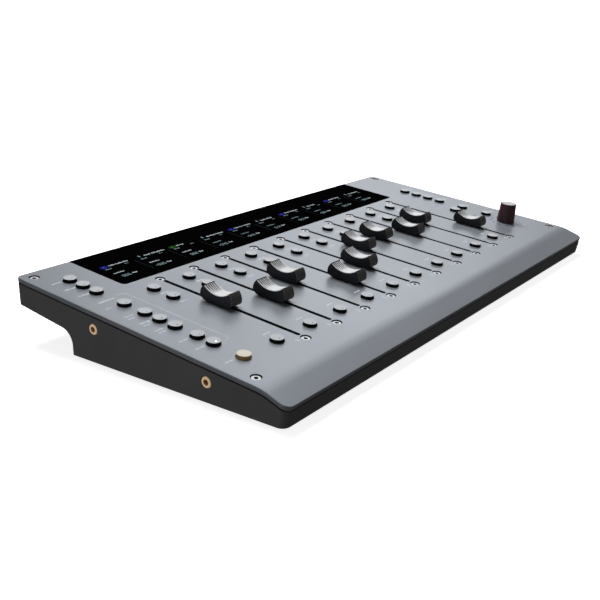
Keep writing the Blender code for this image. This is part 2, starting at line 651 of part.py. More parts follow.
def make_key(name, discs, material):
    """A round key, or two on one web, held under the panel by a flange."""
    rings = [(KEY_FLANGE_RADIUS, KEY_FLANGE_FLOOR_N), (KEY_FLANGE_RADIUS, KEY_FLANGE_TOP_N),
             (KEY_RADIUS, KEY_FLANGE_TOP_N), (KEY_RADIUS, KEY_TOP_N)]
    first_x, first_s = discs[0]
    place = PANEL @ Matrix.Translation((first_x, first_s, 0.0))
    bm = bmesh.new()
    add_turned(bm, rings, KEY_SIDES)
    key = make_object(name, bm, material, place)
    if len(discs) == 2:
        span = discs[1][1] - first_s
        second = bmesh.new()
        add_turned(second, rings, KEY_SIDES, 0.0, span)
        web = bmesh.new()
        add_box(web, (-KEY_WEB_WIDTH / 2, 0.0, KEY_FLANGE_FLOOR_N + KEY_WEB_STEP),
                (KEY_WEB_WIDTH / 2, span, KEY_FLANGE_TOP_N - KEY_WEB_STEP))
        for part_name, part in (("second", second), ("web", web)):
            add_boolean(key, as_cutter(make_object(f"{name}_{part_name}", part, matrix=place)), "UNION")
    shade_round(key)


def make_knob(material):
    """The tapered knob and its shaft, turned about their own axis."""
    rings = [(KNOB_SHAFT_RADIUS, KNOB_SHAFT_TIP_N), (KNOB_SHAFT_RADIUS, KNOB_FLOOR_N),
             (KNOB_BASE_RADIUS, KNOB_FLOOR_N), (KNOB_TOP_RADIUS, KNOB_TOP_N - KNOB_RIM),
             (KNOB_TOP_RADIUS - KNOB_RIM, KNOB_TOP_N)]
    bm = bmesh.new()
    add_turned(bm, rings, KNOB_SIDES)
    knob = make_object("volume_knob", bm, material, PANEL @ Matrix.Translation((KNOB_X, KNOB_S, 0.0)))
    shade_round(knob)


def main():
    clear_scene()
    materials = make_materials()
    make_top_panel(materials["panel"])
    make_display(materials)
    make_chassis(materials["chassis"])
    make_feet(materials["rubber"])
    make_side_inserts(-1, "side_inserts_left", materials["brass"])
    make_side_inserts(1, "side_inserts_right", materials["brass"])
    make_rear_connectors(materials["connector"])
    make_fader_bank(materials["steel"])
    make_circuit_board(materials["board"])
    make_encoder(materials["steel"])
    for index in range(FADERS):
        make_fader_cap(index, materials["cap"])
    for name, discs in key_positions():
        make_key(name, discs, materials["key"])
    make_knob(materials["knob"])


main()
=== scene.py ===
"""Looks of the desktop fader console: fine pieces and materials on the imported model's frame.

Lengths are in metres. Pieces on the tilted panel are laid out in panel coordinates (x, s, n):
x along the console, s up the slope from the front row of fader screws, n out of the top face.
"""

import json
import math

import bmesh
import bpy
from mathutils import Matrix, Vector


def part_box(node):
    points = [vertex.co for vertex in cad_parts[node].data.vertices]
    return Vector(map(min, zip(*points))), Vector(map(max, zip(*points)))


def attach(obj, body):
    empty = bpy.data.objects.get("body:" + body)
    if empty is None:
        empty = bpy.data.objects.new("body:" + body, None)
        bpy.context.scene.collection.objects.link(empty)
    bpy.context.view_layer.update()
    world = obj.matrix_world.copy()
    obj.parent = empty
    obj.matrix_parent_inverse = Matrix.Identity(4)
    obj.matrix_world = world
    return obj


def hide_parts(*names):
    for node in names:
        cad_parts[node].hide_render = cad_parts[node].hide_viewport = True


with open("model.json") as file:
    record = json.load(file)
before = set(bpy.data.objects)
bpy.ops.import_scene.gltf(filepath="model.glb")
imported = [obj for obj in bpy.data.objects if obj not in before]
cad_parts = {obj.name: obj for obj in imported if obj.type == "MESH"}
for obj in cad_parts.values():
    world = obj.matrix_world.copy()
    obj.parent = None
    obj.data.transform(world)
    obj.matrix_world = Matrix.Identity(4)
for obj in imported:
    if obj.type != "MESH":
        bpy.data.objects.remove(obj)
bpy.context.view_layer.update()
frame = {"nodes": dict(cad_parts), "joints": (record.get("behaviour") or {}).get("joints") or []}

MM = 0.001
NODES = frame["nodes"]
JOINTS = {joint["name"]: joint for joint in frame["joints"]}

# ---- the panel's own coordinates ----
SLIDE_AXIS = Vector(JOINTS["fader_01_slide"]["axis"])
KNOB_JOINT = JOINTS["volume_knob_turn"]
KNOB_S = 21.5 * MM
KNOB_X = KNOB_JOINT["pos_m"][0]
TILT = math.atan2(SLIDE_AXIS.z, SLIDE_AXIS.y)
PANEL = (Matrix.Translation(KNOB_JOINT["pos_m"]) @ Matrix.Rotation(TILT, 4, "X")
         @ Matrix.Translation((-KNOB_X, -KNOB_S, 0.0)))
TO_PANEL = PANEL.inverted()


def panel_box(node):
    """A CAD node's lowest and highest corners in panel coordinates."""
    points = [TO_PANEL @ vertex.co for vertex in NODES[node].data.vertices]
    return (Vector([min(p[k] for p in points) for k in range(3)]),
            Vector([max(p[k] for p in points) for k in range(3)]))


# ---- sizes that the frame gives ----
CASE_LOW, CASE_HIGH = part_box("top_panel")
WIDTH = CASE_HIGH.x - CASE_LOW.x
DEPTH = CASE_HIGH.y - CASE_LOW.y
GLASS_LOW, GLASS_HIGH = panel_box("display_glass")
CHASSIS_FLOOR_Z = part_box("base_chassis")[0].z
FADERS = sum(name.startswith("fader_cap_") for name in NODES)
CAP_BOXES = [panel_box(f"fader_cap_{i + 1:02d}") for i in range(FADERS)]
FADER_X = [(low.x + high.x) / 2 for low, high in CAP_BOXES]
CAP_REST_S = [(low.y + high.y) / 2 for low, high in CAP_BOXES]
KEY_NODES = [name for name in sorted(NODES) if "_key" in name]

# ---- panel and chassis ----
PANEL_THICKNESS = 3.0 * MM
PANEL_EDGE_RADIUS = 0.35 * MM
PANEL_UNDER_EDGE = 0.3 * MM
BEND_START_S = -17.0 * MM
BEND_RADIUS = 40.0 * MM
BEND_ANGLE = math.radians(14.0)
BEND_STEPS = 14
FRONT_CORNER_RADIUS = 5.0 * MM
REAR_CORNER_RADIUS = 4.0 * MM
FRONT_LEAN = 2.5 / 12.1
SHADOW_GAP = 1.0 * MM
RIM_INSET = 1.5 * MM
WALL = 3.0 * MM
CLEARANCE = 0.3 * MM
HOLE_CHAMFER = 0.12 * MM
CHASSIS_EDGE_RADIUS = 0.4 * MM
BASE_REAR_Y = 58.2 * MM
OVERHANG_ARC_RADIUS = 10.0 * MM
OVERHANG_RISE = math.tan(math.radians(9.1))
REAR_FACE_BOTTOM_Z = 24.1 * MM
SLOT_WIDTH = 2.9 * MM
SLOT_S = (4.4 * MM, 117.1 * MM)
SLOT_CHAMFER = 0.1 * MM
KEY_HOLE_RADIUS = 4.6 * MM
KNOB_HOLE_RADIUS = 4.0 * MM
GLASS_FRONT_RADIUS = 3.0 * MM
GLASS_REAR_RADIUS = 0.6 * MM
GLASS_EDGE = 0.25 * MM
WINDOW_MARGIN = 5.0 * MM
WINDOW_REAR_MARGIN = 7.0 * MM
OVERRUN = 5.0 * MM
CORNER_STEPS = 10
ROUND_SIDES = 48

# ---- screws ----
FADER_SCREWS_S = (0.0, 120.6 * MM)
CORNER_SCREWS_X = 206.8 * MM
CORNER_SCREWS_S = (-11.2 * MM, 174.0 * MM)
SCREW_RECESS_RADIUS = 3.4 * MM
SCREW_RECESS_DEPTH = 1.9 * MM
SCREW_RECESS_CHAMFER = 0.08 * MM
SCREW_HEAD_RADIUS = 2.8 * MM
SCREW_HEAD_N = -0.6 * MM
SCREW_HEAD_EDGE = 0.3 * MM
SOCKET_APOTHEM = 1.25 * MM
SOCKET_DEPTH = 1.1 * MM
SOCKET_CHAMFER = 0.1 * MM


# ---- mesh building blocks ----
def loft(bm, loops, bands=None):
    """Add a closed body through loops of points, all of the same length, with flat ends.
    bands gives the material of each band between two loops, and the last one also the far end's."""
    rows = [[bm.verts.new(point) for point in loop] for loop in loops]
    count = len(loops[0])
    for band, (below, above) in enumerate(zip(rows, rows[1:])):
        for i in range(count):
            j = (i + 1) % count
            face = bm.faces.new((below[i], below[j], above[j], above[i]))
            face.material_index = bands[band] if bands else 0
    start = bm.faces.new(rows[0][::-1])
    end = bm.faces.new(rows[-1])
    start.material_index = bands[0] if bands else 0
    end.material_index = bands[-1] if bands else 0
    return end


def circle(radius, n, sides=ROUND_SIDES, x=0.0, s=0.0):
    angles = [2 * math.pi * i / sides for i in range(sides)]
    return [(x + radius * math.cos(a), s + radius * math.sin(a), n) for a in angles]


def turned(bm, profile, x=0.0, s=0.0, sides=ROUND_SIDES, bands=None):
    """Add a closed body turned about (x, s), through (radius, n) pairs."""
    loft(bm, [circle(radius, n, sides, x, s) for radius, n in profile], bands)


def arc(centre, radius, start, end, steps):
    """Points on an arc between two angles in degrees, both ends included."""
    angles = [math.radians(start + (end - start) * i / steps) for i in range(steps + 1)]
    return [(centre[0] + radius * math.cos(a), centre[1] + radius * math.sin(a)) for a in angles]


def rounded_rectangle(low, high, radii, n, inset=0.0, steps=CORNER_STEPS):
    """A loop round a rectangle, from its front left corner. radii are front left, front right,
    rear right and rear left, before the inset."""
    corners = [(low[0], low[1], 1, 1, 180), (high[0], low[1], -1, 1, 270),
               (high[0], high[1], -1, -1, 0), (low[0], high[1], 1, -1, 90)]
    loop = []
    for (x, s, side_x, side_s, start), radius in zip(corners, radii):
        centre = (x + side_x * radius, s + side_s * radius)
        loop += arc(centre, max(radius - inset, 0.01 * MM), start, start + 90, steps)
    return [(x, s, n) for x, s in loop]


def rounding(radius, steps=4, end=0.0, up=1):
    """(inset, height) pairs round an edge, from a wall onto the face at height end; up is -1 for
    an edge under a body."""
    angles = [math.pi / 2 * i / steps for i in range(steps + 1)]
    return [(radius * (1 - math.cos(a)), end - up * radius * (1 - math.sin(a))) for a in angles]


def add_box(bm, low, high, material=0):
    loops = [[(low[0], low[1], z), (high[0], low[1], z), (high[0], high[1], z), (low[0], high[1], z)]
             for z in (low[2], high[2])]
    loft(bm, loops, [material])


def add_prism(bm, outline, offset, material=0):
    loft(bm, [outline, [tuple(Vector(p) + Vector(offset)) for p in outline]], [material])


def new_object(name, bm, materials, matrix=None, smooth_angle=30):
    """Turn a bmesh into an object, with round surfaces shaded smooth."""
    bmesh.ops.recalc_face_normals(bm, faces=bm.faces)
    mesh = bpy.data.meshes.new(name)
    bm.to_mesh(mesh)
    bm.free()
    if matrix:
        mesh.transform(matrix)
    for material in materials:
        mesh.materials.append(material)
    mesh.shade_smooth()
    mesh.set_sharp_from_angle(angle=math.radians(smooth_angle))
    obj = bpy.data.objects.new(name, mesh)
    bpy.context.scene.collection.objects.link(obj)
    return obj


def new_cutter(bm, materials=()):
    return new_object("cutter", bm, materials)


def combine(obj, other, operation):
    modifier = obj.modifiers.new(operation.lower(), "BOOLEAN")
    modifier.object = other
    modifier.operation = operation
    modifier.solver = "EXACT"
    modifier.material_mode = "TRANSFER"


def apply_modifiers(obj):
    """Replace an object's mesh by its evaluated one, and remove its modifiers and their cutters."""
    bpy.context.view_layer.update()
    evaluated = obj.evaluated_get(bpy.context.evaluated_depsgraph_get())
    mesh = bpy.data.meshes.new_from_object(evaluated)
    cutters = {m.object for m in obj.modifiers if m.type == "BOOLEAN"}
    obj.modifiers.clear()
    obj.data = mesh
    for cutter in cutters:
        bpy.data.objects.remove(cutter, do_unlink=True)


def even_normals(obj):
    """Shade rounded edges smoothly without bending the light on the flat faces beside them."""
    obj.data.shade_smooth()
    obj.data.set_sharp_from_angle(angle=math.radians(30))
    modifier = obj.modifiers.new("normals", "WEIGHTED_NORMAL")
    modifier.mode = "FACE_AREA"
    modifier.weight = 100
    modifier.keep_sharp = True


def hand_in(obj, body, slot, *nodes):
    """Put a finished piece on its body, and hide the CAD nodes it stands for. slot is not used."""
    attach(obj, body)
    if nodes:
        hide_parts(*nodes)


def finish(obj, body, slot, node):
    """Put a piece with rounded edges on its body, with even shading, and hide the CAD node it stands for."""
    even_normals(obj)
    hand_in(obj, body, slot, node)


# ---- materials ----
def add_node(tree, kind, values=None, **settings):
    """Add a shader node with its settings, and with plain values on its inputs."""
    node = tree.nodes.new(kind)
    for setting, value in settings.items():
        setattr(node, setting, value)
    for socket, value in (values or {}).items():
        node.inputs[socket].default_value = value
    return node


def surface(name, color, roughness, metallic=0.0, grain=2500.0, relief=0.02, spread=0.06,
            mottle=40.0, stretch=(1.0, 1.0, 1.0), rough_spread=0.05, specular=0.5):
    """A procedural finish: a fine grain that gives relief and tone, over a broad soft mottle.
    grain and mottle are how many features fit in a metre, relief is the grain's height in millimetres."""
    material = bpy.data.materials.new(name)
    material.use_nodes = True
    tree = material.node_tree
    link = tree.links.new
    shader = tree.nodes["Principled BSDF"]
    shader.inputs["Metallic"].default_value = metallic
    shader.inputs["Specular IOR Level"].default_value = specular
    place = add_node(tree, "ShaderNodeTexCoord").outputs["Object"]
    scaled = add_node(tree, "ShaderNodeMapping", {"Scale": stretch})
    link(place, scaled.inputs["Vector"])
    fine = add_node(tree, "ShaderNodeTexNoise", {"Scale": grain, "Detail": 2.0})
    link(scaled.outputs["Vector"], fine.inputs["Vector"])
    broad = add_node(tree, "ShaderNodeTexNoise", {"Scale": mottle, "Detail": 3.0})
    link(place, broad.inputs["Vector"])

    both = add_node(tree, "ShaderNodeMath", operation="ADD")
    link(fine.outputs["Fac"], both.inputs[0])
    link(broad.outputs["Fac"], both.inputs[1])
    tone = add_node(tree, "ShaderNodeMapRange", {"From Min": 0.6, "From Max": 1.4})
    link(both.outputs["Value"], tone.inputs["Value"])
    dark = (*[c * (1 - spread) for c in color], 1.0)
    pale = (*[min(1.0, c * (1 + spread)) for c in color], 1.0)
    mix = add_node(tree, "ShaderNodeMix", {"A": dark, "B": pale}, data_type="RGBA")
    link(tone.outputs["Result"], mix.inputs["Factor"])
    link(mix.outputs["Result"], shader.inputs["Base Color"])

    polish = add_node(tree, "ShaderNodeMapRange",
                      {"From Min": 0.3, "From Max": 0.7, "To Min": max(0.02, roughness - rough_spread),
                       "To Max": roughness + rough_spread})
    link(broad.outputs["Fac"], polish.inputs["Value"])
    link(polish.outputs["Result"], shader.inputs["Roughness"])
    bump = add_node(tree, "ShaderNodeBump", {"Strength": 1.0, "Distance": relief * MM})
    link(fine.outputs["Fac"], bump.inputs["Height"])
    link(bump.outputs["Normal"], shader.inputs["Normal"])
    return material


PIXEL_PITCH = 0.25 * MM
PIXEL_GAP_LIGHT = 0.72


def lit(name, color):
    """A lit patch of the screen, made of fine rows of picture elements."""
    material = surface(name, (0.002, 0.002, 0.002), 0.3, relief=0.0, specular=0.0)
    tree = material.node_tree
    link = tree.links.new
    shader = tree.nodes["Principled BSDF"]
    place = add_node(tree, "ShaderNodeTexCoord")
    rows = add_node(tree, "ShaderNodeTexWave", {"Scale": 1 / PIXEL_PITCH / 20, "Distortion": 0.0},
                    bands_direction="X")
    link(place.outputs["Object"], rows.inputs["Vector"])
    glow = add_node(tree, "ShaderNodeMix", {"A": (*[c * PIXEL_GAP_LIGHT for c in color], 1.0),
                                            "B": (*color, 1.0)}, data_type="RGBA")
    link(rows.outputs["Fac"], glow.inputs["Factor"])
    link(glow.outputs["Result"], shader.inputs["Emission Color"])
    shader.inputs["Emission Strength"].default_value = 1.0
    return material


PAINT = surface("panel_paint", (0.30, 0.325, 0.36), 0.36, 0.65, grain=3200, relief=0.006, spread=0.035,
                mottle=14, rough_spread=0.025)
# Near-black walls for the holes, slots, screw recesses and glass window cut in the panel: painted shade
# inside the cuts.
HOLE_PAINTED_SHADE = surface("cut_edge_painted_shade", (0.008, 0.008, 0.009), 0.6, relief=0.01, spread=0.2)
PRINT = surface("legend_print", (0.43, 0.46, 0.50), 0.5, relief=0.004, spread=0.08)
PRINT_DARK = surface("legend_print_dark", (0.02, 0.022, 0.026), 0.5, relief=0.004, spread=0.08)
POWDER = surface("charcoal_powder_coat", (0.072, 0.072, 0.075), 0.55, grain=1600, relief=0.03, spread=0.1)
GLASS = surface("display_black_glass", (0.0006, 0.0006, 0.0007), 0.12, grain=300, relief=0.0, spread=0.2,
                rough_spread=0.02, specular=0.0)
CAP_BLACK = surface("cap_black_plastic", (0.0075, 0.0095, 0.0135), 0.5, grain=2600, relief=0.012,
                    spread=0.12, specular=0.25)
CAP_SILVER = surface("cap_satin_silver", (0.45, 0.455, 0.465), 0.45, 0.15, grain=900, relief=0.004,
                     spread=0.05, stretch=(6.0, 1.0, 1.0))
# A lighter, browner copy of the cap black for the front end facet: painted light where that end faces the
# lamps.
CAP_FACET_PAINTED_LIGHT = surface("cap_end_facet_painted_light", (0.046, 0.043, 0.042), 0.5, grain=2600, relief=0.012, spread=0.12)
# A pale grey for the rounded edges beside the front facet: a painted highlight along them.
CAP_EDGE_PAINTED_HIGHLIGHT = surface("cap_edge_painted_highlight", (0.14, 0.14, 0.145), 0.5, grain=2600, relief=0.012, spread=0.12)
KEY_BLACK = surface("key_black_skirt", (0.003, 0.003, 0.0035), 0.6, relief=0.008, spread=0.15, specular=0.05)
KEY_GREY = surface("key_satin_top", (0.30, 0.315, 0.335), 0.42, 0.1, grain=3000, relief=0.006, spread=0.04)
KEY_LENS = surface("key_dark_lens", (0.10, 0.105, 0.11), 0.25, relief=0.004)
KNOB_SKIN = surface("knob_soft_touch", (0.040, 0.012, 0.018), 0.6, grain=2200, relief=0.015, spread=0.15)
KNOB_TOP = surface("knob_satin_top", (0.36, 0.355, 0.365), 0.42, 0.2, grain=900, relief=0.004, spread=0.05)
STEEL = surface("screw_steel", (0.64, 0.655, 0.68), 0.38, 0.5, grain=1500, relief=0.004, spread=0.05)
# Near-black steel for the hex sockets: painted shade inside them.
SOCKET_PAINTED_SHADE = surface("socket_shadow_steel", (0.008, 0.008, 0.009), 0.6, relief=0.01, spread=0.2, specular=0.1)
ZINC = surface("zinc_plate", (0.50, 0.50, 0.48), 0.36, 0.9, grain=700, relief=0.01, spread=0.08)
# Darker brass for the threaded bores and their mouths: painted shade inside the holes.
BORE_SHADE = surface("threaded_bore_brass_painted_shade", (0.70, 0.40, 0.19), 0.5, 0.2, grain=1800, spread=0.15)
RUBBER = surface("foot_rubber", (0.013, 0.013, 0.013), 0.85, grain=1400, relief=0.04, spread=0.2)
MOULDED = surface("connector_black", (0.012, 0.012, 0.012), 0.45, relief=0.02, spread=0.15)
SOLDER_MASK = surface("solder_mask_green", (0.008, 0.075, 0.032), 0.3, grain=500, relief=0.01, spread=0.2)
MODULE_BLACK = surface("display_module_black", (0.015, 0.015, 0.015), 0.55, relief=0.02, spread=0.15)


def glowing(material, color, strength):
    """Give a finish some light of its own, which on plain metal stands for a nearby lamp's glint."""
    shader = material.node_tree.nodes["Principled BSDF"]
    shader.inputs["Emission Color"].default_value = (*color, 1.0)
    shader.inputs["Emission Strength"].default_value = strength
    return material


# The brass glows a little of its own: a painted glint that stands for lamp light on the insert rings.
BRASS_PAINTED_GLINT = glowing(surface("turned_brass", (1.0, 0.74, 0.48), 0.34, 0.1, grain=1800, relief=0.008, spread=0.08),
                (1.0, 0.66, 0.38), 0.2)
KEY_CREAM = glowing(surface("key_lit_cream", (0.34, 0.33, 0.28), 0.42, relief=0.006),
                    (1.0, 0.92, 0.72), 0.10)
KEY_AMBER = glowing(surface("key_lit_skirt", (0.12, 0.085, 0.035), 0.5, relief=0.008),
                    (0.5, 0.28, 0.06), 0.06)
LENS_WHITE = glowing(surface("key_lit_lens", (0.9, 0.9, 0.9), 0.3, relief=0.004), (1.0, 1.0, 1.0), 2.0)
SCREEN_COLORS = {"white": (0.80, 0.90, 0.94), "teal": (0.30, 0.42, 0.46), "grey": (0.045, 0.050, 0.062),
                 "blue": (0.012, 0.012, 0.16), "blue_core": (0.12, 0.13, 0.72),
                 "green": (0.010, 0.05, 0.008), "green_core": (0.06, 0.28, 0.05)}
SCREEN_TINTS = list(SCREEN_COLORS)
SCREEN_GLOW = [lit(f"screen_{tint}", color) for tint, color in SCREEN_COLORS.items()]


# ---- the top panel ----
def key_discs(node):
    """The (x, s) centre of each disc of a key node: one, or two on a pair."""
    low, high = panel_box(node)
    radius = (high.x - low.x) / 2
    x = (low.x + high.x) / 2
    if high.y - low.y > 3 * radius:
        return [(x, low.y + radius), (x, high.y - radius)]
    return [(x, (low.y + high.y) / 2)]


def screw_places():
    corners = [(side * CORNER_SCREWS_X, s) for side in (-1, 1) for s in CORNER_SCREWS_S]
    return corners + [(x, s) for x in FADER_X for s in FADER_SCREWS_S]


def flat_length():
    """How far in front of s = 0 the panel's front edge lies before the sheet is bent."""
    bent_tilt = TILT + BEND_ANGLE
    end = PANEL @ Vector((0.0, BEND_START_S - BEND_RADIUS * math.sin(BEND_ANGLE),
                          -BEND_RADIUS * (1 - math.cos(BEND_ANGLE))))
    return -BEND_START_S + BEND_RADIUS * BEND_ANGLE + (end.y + DEPTH / 2) / math.cos(bent_tilt)


def bent(point):
    """Where a point of the flat sheet goes when its front is bent down."""
    x, s, n = point
    run = BEND_START_S - s
    if run <= 0:
        return point
    angle = min(run / BEND_RADIUS, BEND_ANGLE)
    straight = run - angle * BEND_RADIUS
    reach = BEND_RADIUS + n
    return Vector((x, BEND_START_S - reach * math.sin(angle) - straight * math.cos(angle),
                   reach * math.cos(angle) - BEND_RADIUS - straight * math.sin(angle)))


def flared_hole(bm, loop_at, chamfer=HOLE_CHAMFER, floor=-PANEL_THICKNESS - OVERRUN):
    """A cutter for a hole with a chamfered upper edge; loop_at gives its loop at (growth, n)."""
    loft(bm, [loop_at(0.0, floor), loop_at(0.0, -chamfer), loop_at(chamfer, 0.0), loop_at(chamfer, OVERRUN)])


def round_hole_cutter():
    bm = bmesh.new()
    for node in KEY_NODES:
        for x, s in key_discs(node):
            flared_hole(bm, lambda g, n: circle(KEY_HOLE_RADIUS + g, n, x=x, s=s))
    flared_hole(bm, lambda g, n: circle(KNOB_HOLE_RADIUS + g, n, x=KNOB_X, s=KNOB_S))
    for x, s in screw_places():
        flared_hole(bm, lambda g, n: circle(SCREW_RECESS_RADIUS + g, n, x=x, s=s),
                    SCREW_RECESS_CHAMFER, -SCREW_RECESS_DEPTH)
    return new_cutter(bm, [HOLE_PAINTED_SHADE])


def slot_cutter():
    bm = bmesh.new()
    half = SLOT_WIDTH / 2
    for x in FADER_X:
        flared_hole(bm, lambda g, n: rounded_rectangle(
            (x - half - g, SLOT_S[0] - g), (x + half + g, SLOT_S[1] + g), [half + g] * 4, n),
            SLOT_CHAMFER)
    return new_cutter(bm, [HOLE_PAINTED_SHADE])


def glass_loop(n, growth=0.0, inset=0.0):
    """The glass pane's outline: round front corners, and square ones at the rear edge."""
    low = (GLASS_LOW.x - growth, GLASS_LOW.y - growth)
    high = (GLASS_HIGH.x + growth, GLASS_HIGH.y + growth)
    radii = [GLASS_FRONT_RADIUS + growth] * 2 + [GLASS_REAR_RADIUS] * 2
    return rounded_rectangle(low, high, radii, n, inset)


def make_top_panel():
    rear = (DEPTH / 2 - PANEL.translation.y) / math.cos(TILT) - PANEL_THICKNESS * math.sin(TILT)
    low = (-WIDTH / 2, -flat_length())
    high = (WIDTH / 2, rear)
    radii = [FRONT_CORNER_RADIUS] * 2 + [REAR_CORNER_RADIUS] * 2
    edge = rounding(PANEL_UNDER_EDGE, 2, -PANEL_THICKNESS, -1)[::-1] + rounding(PANEL_EDGE_RADIUS)
    bm = bmesh.new()
    loft(bm, [rounded_rectangle(low, high, radii, n, inset) for inset, n in edge])
    # The walls of every hole and cut take the near-black painted shade.
    panel = new_object("top_panel_shell", bm, [PAINT, HOLE_PAINTED_SHADE])
    for cutter in (round_hole_cutter(), slot_cutter()):
        combine(panel, cutter, "DIFFERENCE")
    recess = bmesh.new()
    depth = GLASS_LOW.z - CLEARANCE
    loft(recess, [glass_loop(n, CLEARANCE) for n in (depth, OVERRUN)])
    behind = bmesh.new()
    add_box(behind, (GLASS_LOW.x - CLEARANCE, (GLASS_LOW.y + rear) / 2, depth),
            (GLASS_HIGH.x + CLEARANCE, rear + OVERRUN, OVERRUN))
    window = bmesh.new()
    add_box(window, (GLASS_LOW.x + WINDOW_MARGIN, GLASS_LOW.y + WINDOW_MARGIN, -2 * OVERRUN),
            (GLASS_HIGH.x - WINDOW_MARGIN, rear - WINDOW_REAR_MARGIN, OVERRUN))
    for cutter in (recess, behind, window):
        combine(panel, new_cutter(cutter, [HOLE_PAINTED_SHADE]), "DIFFERENCE")
    apply_modifiers(panel)

    bm = bmesh.new()
    bm.from_mesh(panel.data)
    step = BEND_RADIUS * BEND_ANGLE / BEND_STEPS
    for i in range(BEND_STEPS + 1):
        everything = bm.verts[:] + bm.edges[:] + bm.faces[:]
        bmesh.ops.bisect_plane(bm, geom=everything, plane_co=(0, BEND_START_S - i * step, 0),
                               plane_no=(0, 1, 0))
    for vertex in bm.verts:
        vertex.co = PANEL @ bent(vertex.co)
    bm.to_mesh(panel.data)
    bm.free()
    finish(panel, "case", "panel", "top_panel")


# ---- printed legends ----
PRINT_TOP = 0.03 * MM
PRINT_FLOOR = -0.02 * MM
LEGEND_WIDTH = 0.9 * MM


def stroke(bm, points, width, material=0):
    """A flat printed line of some width along a run of (x, s) points."""
    sides = ([], [])
    for i, point in enumerate(points):
        before = Vector(points[max(i - 1, 0)])
        after = Vector(points[min(i + 1, len(points) - 1)])
        across = (after - before).normalized().orthogonal() * width / 2
        sides[0].append(Vector(point) + across)
        sides[1].append(Vector(point) - across)
    outline = sides[1] + sides[0][::-1]
    add_prism(bm, [(p.x, p.y, PRINT_FLOOR) for p in outline], (0, 0, PRINT_TOP - PRINT_FLOOR), material)


def dashes(bm, x, s, lengths):
    """A row of short bars that stands for a legend, from its left end. lengths are in millimetres."""
    for length in lengths:
        stroke(bm, [(x, s), (x + length * MM, s)], LEGEND_WIDTH)
        x += length * MM + LEGEND_GAP


# the bars of each left key's legend, a list for each of its rows, in millimetres
LEFT_LEGENDS = [[[2.8, 2.6]], [[3.4, 3.2]], [[3.6, 2.8]], [[4.2, 1.9], [2.2, 3.0]], [[4.6, 3.0], [3.4, 1.6]],
                [[3.2, 3.2], [2.4, 1.8]], [[2.6, 1.4]], [[5.2, 3.2]], [[4.2, 3.6]], [[3.6, 3.0]]]
LEFT_LEGEND_X = -206.9 * MM
LEFT_LEGEND_RISE = 1.6 * MM
LEGEND_SPACING = 3.4 * MM
LEGEND_GAP = 0.6 * MM
RIGHT_LEGEND = [3.0, 2.4]
RIGHT_LEGEND_OFFSET = 7.6 * MM
UPPER_LEGEND = [3.2, 2.6]
UPPER_LEGEND_OFFSET = (-1.4 * MM, -8.6 * MM)
LOWER_LEGEND = [3.4, 2.4]
LOWER_LEGEND_OFFSET = (-0.5 * MM, 10.2 * MM)
FADER_TICK_OFFSET = -7.2 * MM
FADER_TICK_S = (-1.0 * MM, 2.6 * MM)
FADER_TICK_WIDTH = 0.8 * MM
GROUP_LEGEND = [5.6, 3.0, 3.4]
GROUP_LEGEND_PLACE = (-204.2 * MM, 116.0 * MM)
BRACKET_X = -181.0 * MM
BRACKET_S = (29.4 * MM, 118.4 * MM)
BRACKET_RADIUS = 3.0 * MM
BRACKET_ARMS = (5.0 * MM, 7.0 * MM)
BRACKET_WIDTH = 0.3 * MM
KNOB_DOTS = 11
KNOB_DOTS_START = -60               # degrees, and the step between two dots
KNOB_DOTS_STEP = 30
KNOB_DOTS_RING = 12.8 * MM
KNOB_DOT_RADIUS = 1.0 * MM
KNOB_MARKS_X = (1.5 * MM, 6.5 * MM)
KNOB_MARKS_S = (5.6 * MM, 9.6 * MM)
DARK_MARK_X = (177.0 * MM, 179.4 * MM)
DARK_MARK_S = 48.3 * MM
DARK_MARK_WIDTH = 1.0 * MM


